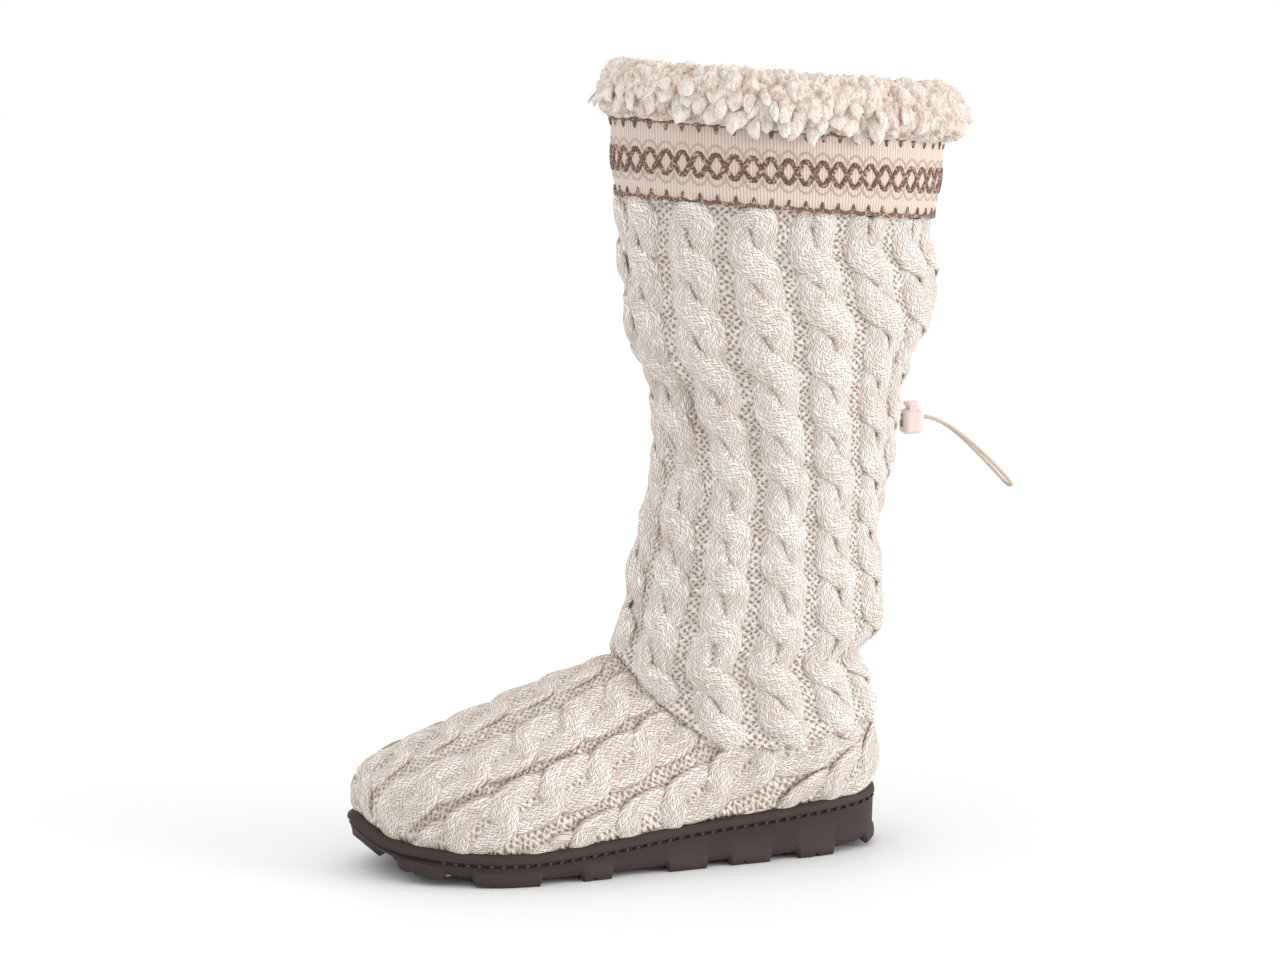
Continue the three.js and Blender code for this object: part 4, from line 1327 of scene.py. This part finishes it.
def add_shaft_strand(piece, cable, side):
    """One strand of a cable, from under the band down into the ankle seam."""
    middle = (cable + 0.5) / CABLES
    foot = float(seam_height(angle_at(knit_share(middle, SEAM_SIDE_HEIGHT + SEAM_HEEL_RISE))))
    head = float(band_low(angle_at(middle)))
    z = np.linspace(head + STRAND_LAP, foot - SEAM_ROLL, STRAND_STEPS)
    across, lift = cable_path(BAND_TOP - z, side)
    width = knit_width(middle, z)
    angle = angle_at(knit_share(middle, z) + across * STRAND_REACH * width / shaft_girth(z))
    z = z + (band_low(angle) - head) * (1 - smoothstep(head - z, *HEAD_LEVEL))
    foot = seam_height(angle)
    raised = STRAND_LOW + STRAND_LIFT * lift + KNOT_SWELL * (lift ** 2 - 0.5)
    raised = raised - BAND_TUCK * smoothstep(z, head - BAND_TUCK_HEIGHT, head)
    shown = smoothstep(z, foot - SEAM_ROLL, foot + STRAND_RISE)
    offset = lerp(-GROUND_DEPTH - STRAND_BURY, raised, shown) + seam_flare(angle, z - foot)
    points = knit_point(angle, z, np.maximum(offset, STRAND_CLEAR - KNIT_INSIDE))
    half = STRAND_HALF * width * (1 + KNOT_WIDENS * np.maximum(lift, 0))
    add_strand(piece, points, shaft_normal(angle, z), half, STRAND_THICK, -across * STRAND_ROLL,
               STRAND_SHIFT * cable, STRAND_SAG)


# Knitted foot
def foot_surface():
    """Points and outward normals of the foot. The first row is buried in the sole, the next is the hem."""
    share = round_shares(FOOT_COLUMNS)
    points = foot_point(share, np.linspace(0, TOP_LEVEL, FOOT_ROWS)[:, None])
    hem = points[:1] - [0, 0, RECESS_DEPTH - SEAM_GAP]
    points = np.concatenate([hem - [0, 0, HEM_BURY], hem, points])
    once = points[:, :-1]
    along = np.roll(once, -1, 1) - np.roll(once, 1, 1)
    normals = unit(np.cross(along, np.gradient(once, axis=0)))
    return share, points, np.concatenate([normals, normals[:, :1]], 1)


def foot_fabric(share, points):
    """Fabric places: along the slope of the vamp, and round from its ridge to both sides."""
    start = sole_loop(share, RIM_WIDTH + SEAM_GAP)
    inner = share < 0.5
    from_inner = share - plan_share(HEEL_UNROLL, INNER_ROWS)
    from_outer = plan_share(HEEL_UNROLL, OUTER_ROWS) - share
    round_heel = PLAN_LENGTH * np.where(inner, from_inner, from_outer)
    heelward = 1 - smoothstep(start[:, 0], *HEEL_FADE)
    x = lerp(points[..., 0], HEEL_UNROLL + round_heel, heelward)
    y = lerp(points[..., 1], np.where(inner, -HEEL_HALF, HEEL_HALF), heelward)
    along = -x * math.cos(FOOT_SLOPE) + points[..., 2] * math.sin(FOOT_SLOPE)
    up = x * math.sin(FOOT_SLOPE) + points[..., 2] * math.cos(FOOT_SLOPE)
    ridge_column = len(share) // 2
    order = np.argsort(along[:, ridge_column])
    ridge = np.interp(along, along[order, ridge_column], up[order, ridge_column])
    drop = np.maximum(ridge - up, 0)
    across = (np.abs(y) ** RIDGE_BEND + drop ** RIDGE_BEND) ** (1 / RIDGE_BEND)
    return along, np.sign(y) * across


def make_upper():
    share, points, normals = foot_surface()
    along, across = foot_fabric(share, points)
    chart = FootChart(points, normals, along, across)
    points, normals, along, across = points[1:], normals[1:], along[1:], across[1:]
    rise = np.linspace(0, 1, len(points))[:, None, None]
    sunk = smoothstep(rise, *HEM_FADE) * (1 - TOP_SHARE * smoothstep(rise, *TOP_FADE))
    depth = lerp(HEEL_GROUND, FOOT_GROUND, smoothstep(points[..., :1], *HEEL_GROUND_FADE))
    outside = points - normals * lerp(HEM_GROUND, depth, sunk)
    inside = points - normals * (WALL + SEAM_GAP)
    outside[0] = points[0] - normals[1] * HEM_TUCK
    inside[0] = inside[1] - [0, 0, RECESS_DEPTH - SEAM_GAP]
    piece = Piece()
    add_wall(piece, outside, np.stack([across / PURL_WALE, along / PURL_COURSE], -1), inside[::-1])
    for middle in FOOT_CABLES:
        for side in (1, -1):
            add_foot_strand(piece, chart, middle, side)
    dress(piece.build("foot_cables", [FOOT_CABLE_KNIT, FOOT_PURL_KNIT, LINING]), "foot_knit", "upper")


class FootChart:
    """The foot's knit laid flat, to find where a place of the fabric lies on the foot."""

    def __init__(self, points, normals, along, across):
        rows = len(along)
        level = np.broadcast_to(np.arange(rows)[:, None] / rows, along.shape)
        quads = quads_of(np.arange(along.size).reshape(along.shape)).reshape(-1, 4)
        self.triangles = np.concatenate([quads[:, [0, 1, 2]], quads[:, [0, 2, 3]]])
        self.flat = np.stack([along, across, level], -1).reshape(-1, 3)
        self.tree = BVHTree.FromPolygons(self.flat.tolist(), self.triangles.tolist())
        self.points, self.normals = points.reshape(-1, 3), normals.reshape(-1, 3)
        self.low, self.high = along.min(), along.max()

    def find(self, along, across):
        """Point, normal and level there, or nothing where the fabric is cut away."""
        place, normal, face, distance = self.tree.ray_cast(Vector((along, across, 2.0)), Vector((0, 0, -1)))
        if place is None:
            return None
        corners = self.triangles[face]
        a, b, c = self.flat[corners, :2]
        to_b, to_c, to_spot = b - a, c - a, np.array([along, across]) - a
        area = to_b[0] * to_c[1] - to_b[1] * to_c[0]
        second = (to_spot[0] * to_c[1] - to_spot[1] * to_c[0]) / area
        third = (to_b[0] * to_spot[1] - to_b[1] * to_spot[0]) / area
        weights = np.array([1 - second - third, second, third])
        level = weights @ self.flat[corners, 2]
        return weights @ self.points[corners], weights @ self.normals[corners], level


def add_foot_strand(piece, chart, middle, side):
    """One strand of a cable of the foot, in runs where the fabric is there."""
    steps = np.arange(chart.low, chart.high, FOOT_STEP)
    sideways, lift = cable_path(steps, -side)
    away = 1 if middle >= 0 else -1
    bow = away * foot_bow(steps) * (1 - BOW_LOSS * smoothstep(abs(middle), *BOW_FADE))
    bow = bow * min(1, abs(middle) / BOW_START)
    run = []
    for s, w, h, shift in zip(steps, sideways, lift, bow):
        found = chart.find(s, middle + shift - w * FOOT_STRAND_REACH)
        if found is not None:
            run.append((*found, w, h))
        if (found is None or s == steps[-1]) and run:
            finish_foot_strand(piece, run, middle)
            run = []


def finish_foot_strand(piece, run, middle):
    if len(run) < SHORTEST_STRAND:
        return
    points, normals, level, sideways, lift = (np.array(column) for column in zip(*run))
    normals = unit(normals)
    reach = path_reach(points)
    end = smoothstep(np.minimum(reach, reach[-1] - reach), *FOOT_TUCK_END)
    tuck = np.maximum(smoothstep(level, *FOOT_TUCK_LEVELS), 1 - end)
    depth, breadth = OUTER_SINK if middle > 0 else INNER_SINK
    sink = depth * math.exp(-(middle / breadth) ** 2)
    offset = FOOT_STRAND_LOW + FOOT_STRAND_LIFT * lift - FOOT_TUCK * tuck - sink
    for turn in range(NORMAL_PASSES):
        normals[1:-1] = unit(normals[:-2] + 2 * normals[1:-1] + normals[2:])
    half = FOOT_STRAND_HALF * (1 - FOOT_TUCK_NARROWS * tuck)
    add_strand(piece, points + normals * offset[:, None], normals, half, FOOT_STRAND_THICK,
               sideways * STRAND_ROLL, FOOT_STRAND_SHIFT * middle, FOOT_STRAND_SAG)


# Patterned band
def band_point(share, height, offset):
    """A point of the band, at a share of the way round and a height over its lower edge."""
    angle = angle_at(share)
    z = band_low(angle) + height
    return shaft_point(angle, z, offset - collar_dent(angle, z))


def band_yarn(piece, share, height, offset, radius, finish):
    angle = angle_at(share)
    normals = unit(shaft_point(angle, BAND_TOP, 1) - shaft_point(angle, BAND_TOP, 0))
    yarn(piece, band_point(share, height, offset), normals, radius, YARN_SIDES, finish)


def add_band_ground(piece):
    share = round_shares(BAND_COLUMNS)
    ribs = np.round(shaft_girth(BAND_TOP) / RIB)
    rows = np.array([band_point(share[:-1], height, out - BAND_SINK) for height, out in BAND_SECTION])
    heights = np.array([height for height, out in BAND_SECTION + BAND_SECTION[:1]])
    piece.grid(rows, pairs(ribs * share, heights / PICK), round_rows=True)


def add_pattern(piece):
    """Brown lattice, scalloped edges and grey loops, as yarns that run all the way round."""
    share = round_shares(BAND_REPEATS * YARN_STEPS)
    wave = 2 * math.pi * share * BAND_REPEATS / 2
    scallop = np.abs(np.sin(wave))
    zigzag = np.clip(LATTICE_FLAT * np.arcsin(np.sin(wave)) / (math.pi / 2), -1, 1)
    for side in (1, -1):
        height = LATTICE_MIDDLE + side * LATTICE_HALF * zigzag
        out = LATTICE_OUT + side * LATTICE_WEAVE * np.cos(wave)
        band_yarn(piece, share, height, out, LATTICE_RADIUS, 1)
    for edge, side in EDGE_YARNS:
        band_yarn(piece, share, edge + side * EDGE_SCALLOP * scallop, EDGE_OUT, EDGE_RADIUS, 1)
    for side in (1, -1):
        height = LATTICE_MIDDLE + side * (GREY_LOOP_START + GREY_LOOP_HEIGHT * scallop ** GREY_LOOP_CURVE)
        band_yarn(piece, share, height, GREY_LOOP_OUT, GREY_LOOP_RADIUS, 2)


def add_teeth(piece):
    """Short brown teeth from both edges towards the lattice."""
    fall = np.linspace(0, 1, TOOTH_POINTS)
    taper = TOOTH_RADIUS * np.sqrt(np.clip(TAPER_END - fall ** 3, 0, 1))
    for repeat in range(BAND_REPEATS):
        place = np.full(TOOTH_POINTS, (repeat + 0.5) / BAND_REPEATS)
        for edge, side in TEETH:
            height = edge + side * TOOTH_LENGTH * fall
            band_yarn(piece, place, height, TOOTH_OUT - TOOTH_SINK * fall, taper, 1)


def make_band():
    piece = Piece()
    add_band_ground(piece)
    add_pattern(piece)
    add_teeth(piece)
    dress(piece.build("band_weave", [BAND_RIBS, BROWN_YARN, GREY_YARN]), "band_weave", "band")


# Fleece cuff
def domes(group, place, scale, reach):
    """Rounded clumps that meet in sharp creases: 1 on top of a clump, 0 in a crease."""
    away = maths(group, "MULTIPLY", cells(group, place, scale), reach)
    return maths(group, "MAXIMUM", maths(group, "SUBTRACT", 1.0, maths(group, "MULTIPLY", away, away)), 0.0)


def fleece_tree():
    """Puffs a surface up into clumps of fleece, and sets curled locks between them."""
    group, entry, leave = geometry_group("Curly fleece", {
        "Clumps": FLOAT, "Puff": FLOAT, "Spacing": FLOAT, "Lock length": FLOAT, "Lock radius": FLOAT,
        "Seed": "NodeSocketInt",
    })
    place = node(group, "GeometryNodeInputPosition").outputs[0]
    bent = strayed(group, place, 130.0, 2.0, (0.012, 0.012, 0.012))
    drawn = vector_maths(group, "MULTIPLY", bent, (1.0, 1.0, 0.75))
    large = domes(group, drawn, entry["Clumps"], 1.25)
    small = domes(group, drawn, maths(group, "MULTIPLY", entry["Clumps"], 2.7), 1.2)
    fuzz = noise(group, place, 330.0, 1.0)[0]
    height = maths(group, "MULTIPLY_ADD", small, 0.35, maths(group, "MULTIPLY", large, 0.6))
    height = maths(group, "MULTIPLY_ADD", maths(group, "SUBTRACT", fuzz, 0.5), 0.5, height)
    rise = maths(group, "MULTIPLY", height, entry["Puff"])
    rise = maths(group, "MULTIPLY", rise, attribute(group, "thick"))
    puff = vector_maths(group, "SCALE", node(group, "GeometryNodeInputNormal").outputs[0], Scale=rise)
    # The clumps' height, which the fleece material turns into painted shade in the creases
    base = marked(group, entry["Geometry"], "tip", height)
    woolly = node(group, "GeometryNodeSetPosition", {"Geometry": base, "Offset": puff})
    both = node(group, "GeometryNodeJoinGeometry")
    for part in (fleece_locks(group, entry), woolly.outputs[0]):
        group.links.new(part, both.inputs[0])
    return close_group(group, entry, leave, both.outputs[0])


def lock_shape(group, length, radius):
    """One flat curled lock, thick in the middle, with its tip marked."""
    def along(**shares):
        parts = {axis: maths(group, "MULTIPLY", length, share) for axis, share in shares.items()}
        return joined(group, **parts)

    line = bent_line(group, 7, along(Z=-0.35), along(Y=0.25, Z=0.3), along(Y=-0.1, Z=0.65))
    where = node(group, "GeometryNodeSplineParameter").outputs["Factor"]
    middling = maths(group, "ABSOLUTE", maths(group, "MULTIPLY_ADD", where, 2.0, -1.0))
    swell = maths(group, "SQRT", maths(group, "SUBTRACT", TAPER_END, maths(group, "POWER", middling, 2.2)))
    flat = node(group, "GeometryNodeTransform", {"Geometry": ring(group, 8), "Scale": (1.0, 0.42, 1.0)})
    thick = maths(group, "MULTIPLY", swell, radius)
    # The place along the lock, which the fleece material turns into painted shade at its root
    return tube(group, marked(group, line, "tip", where), flat.outputs[0], thick)


def random_vector(group, low, high, seed):
    values = {0: low, 1: high, "Seed": seed}
    return node(group, "FunctionNodeRandomValue", values, data_type="FLOAT_VECTOR").outputs[0]


def fleece_locks(group, entry):
    """Curled locks, combed over the surface."""
    spread = {
        "Mesh": entry["Geometry"], "Distance Min": entry["Spacing"], "Density Max": 400000.0,
        "Density Factor": attribute(group, "curly"), "Seed": entry["Seed"],
    }
    spots = node(group, "GeometryNodeDistributePointsOnFaces", spread, distribute_method="POISSON").outputs
    stray = random_vector(group, (-0.5, -0.5, -0.4), (0.5, 0.5, 0.4), entry["Seed"])
    lean = vector_maths(group, "ADD", attribute(group, "comb", "FLOAT_VECTOR"), stray)
    facing = node(group, "FunctionNodeAlignRotationToVector", {"Vector": lean}, axis="Z")
    turn = {"Rotation": facing.outputs[0], "Vector": spots["Normal"]}
    turned = node(group, "FunctionNodeAlignRotationToVector", turn, axis="Y", pivot_axis="Z")
    copies = node(group, "GeometryNodeInstanceOnPoints", {
        "Points": spots["Points"], "Rotation": turned.outputs[0],
        "Instance": lock_shape(group, entry["Lock length"], entry["Lock radius"]),
        "Scale": random_vector(group, (0.65, 0.7, 0.7), (1.25, 1.2, 1.3), 5),
    })
    tone = node(group, "FunctionNodeRandomValue", {2: 0.0, 3: 1.0, "Seed": 17}, data_type="FLOAT").outputs[1]
    toned = marked(group, copies.outputs[0], "tone", tone, "INSTANCE")
    real = node(group, "GeometryNodeRealizeInstances", {0: toned})
    wave = noise(group, node(group, "GeometryNodeInputPosition").outputs[0], 170.0)["Color"]
    shift = vector_maths(group, "SCALE", vector_maths(group, "SUBTRACT", wave, MIDDLE_GREY), Scale=0.005)
    return node(group, "GeometryNodeSetPosition", {"Geometry": real.outputs[0], "Offset": shift}).outputs[0]


def make_fleece_cuff():
    """A soft ring folded over the collar, puffed up into fleece where it shows."""
    angle = angle_at(round_shares(CUFF_COLUMNS)[:-1])
    loop = np.array([cuff_point(angle, *row) for row in CUFF_SECTION])
    fine = np.stack([through_points(loop[:, i], True, CUFF_STEPS) for i in range(CUFF_COLUMNS)], 1)
    piece = Piece()
    piece.grid(fine, round_rows=True)
    base = piece.build("cuff_base", [LOCKS])
    along, up = (np.roll(fine, -1, axis) - np.roll(fine, 1, axis) for axis in (1, 0))
    normal = unit(np.cross(along, up))
    facing = normal[..., 0] * np.cos(angle) + normal[..., 1] * np.sin(angle)
    shows = smoothstep(facing + CUFF_TOP_SHOWS * np.maximum(normal[..., 2], 0), *CUFF_SHOWS)
    rise = fine[..., 2] - collar_height(angle)
    forward = smoothstep(np.cos(angle), *CUFF_FRONT)
    thick = shows * smoothstep(rise, *CUFF_LOW) * lerp(FLEECE_BACK, FLEECE_FRONT, forward)
    hem = rise - LOCKS_HEM_RISE * smoothstep(np.cos(angle), *LOCKS_HEM_FRONT)
    curly = shows * smoothstep(hem, *LOCKS_HEM) * forward
    curly = curly * (1 - smoothstep(normal[..., 2], *LOCKS_TOP))
    comb = normal * COMB_OUT
    comb[..., 2] -= np.clip(facing, 0, 1)
    layers = base.data.attributes
    layers.new("comb", "FLOAT_VECTOR", "POINT").data.foreach_set("vector", comb.astype(np.float32).ravel())
    for name, values in (("thick", thick), ("curly", curly)):
        layers.new(name, "FLOAT", "POINT").data.foreach_set("value", values.astype(np.float32).ravel())
    made = grow("fleece_locks", base, fleece_tree(), {**FLEECE_SIZES, "Material": LOCKS})
    dress(made, "fleece", "fleece_cuff")


# Floor and light
def make_stage():
    mesh = bpy.data.meshes.new("floor")
    corners = [(x * FLOOR_REACH, y * FLOOR_REACH, 0) for x, y in ((-1, -1), (1, -1), (1, 1), (-1, 1))]
    mesh.from_pydata(corners, [], [(0, 1, 2, 3)])
    mesh.materials.append(floor_material())
    add_object("floor", mesh)
    world = bpy.data.worlds.new("Studio")
    world.use_nodes = True
    sky = world.node_tree.nodes["Background"]
    sky.inputs["Color"].default_value = (1.0, 1.0, 1.0, 1.0)
    sky.inputs["Strength"].default_value = 1.0
    bpy.context.scene.world = world
    for sun in SUNS:
        add_sun(*sun)
    bpy.context.scene.view_settings.view_transform = "Standard"


def add_sun(name, towards, strength, spread):
    data = bpy.data.lights.new(name, "SUN")
    data.energy = strength
    data.angle = math.radians(spread)
    add_object(name, data).rotation_euler = Vector(towards).to_track_quat("Z", "Y").to_euler()


make_camera()
make_drawcord(finish_cord_lock())
make_outsole()
make_sole_stitches()
make_insole()
make_upper()
make_shaft()
make_band()
make_fleece_cuff()
make_stage()
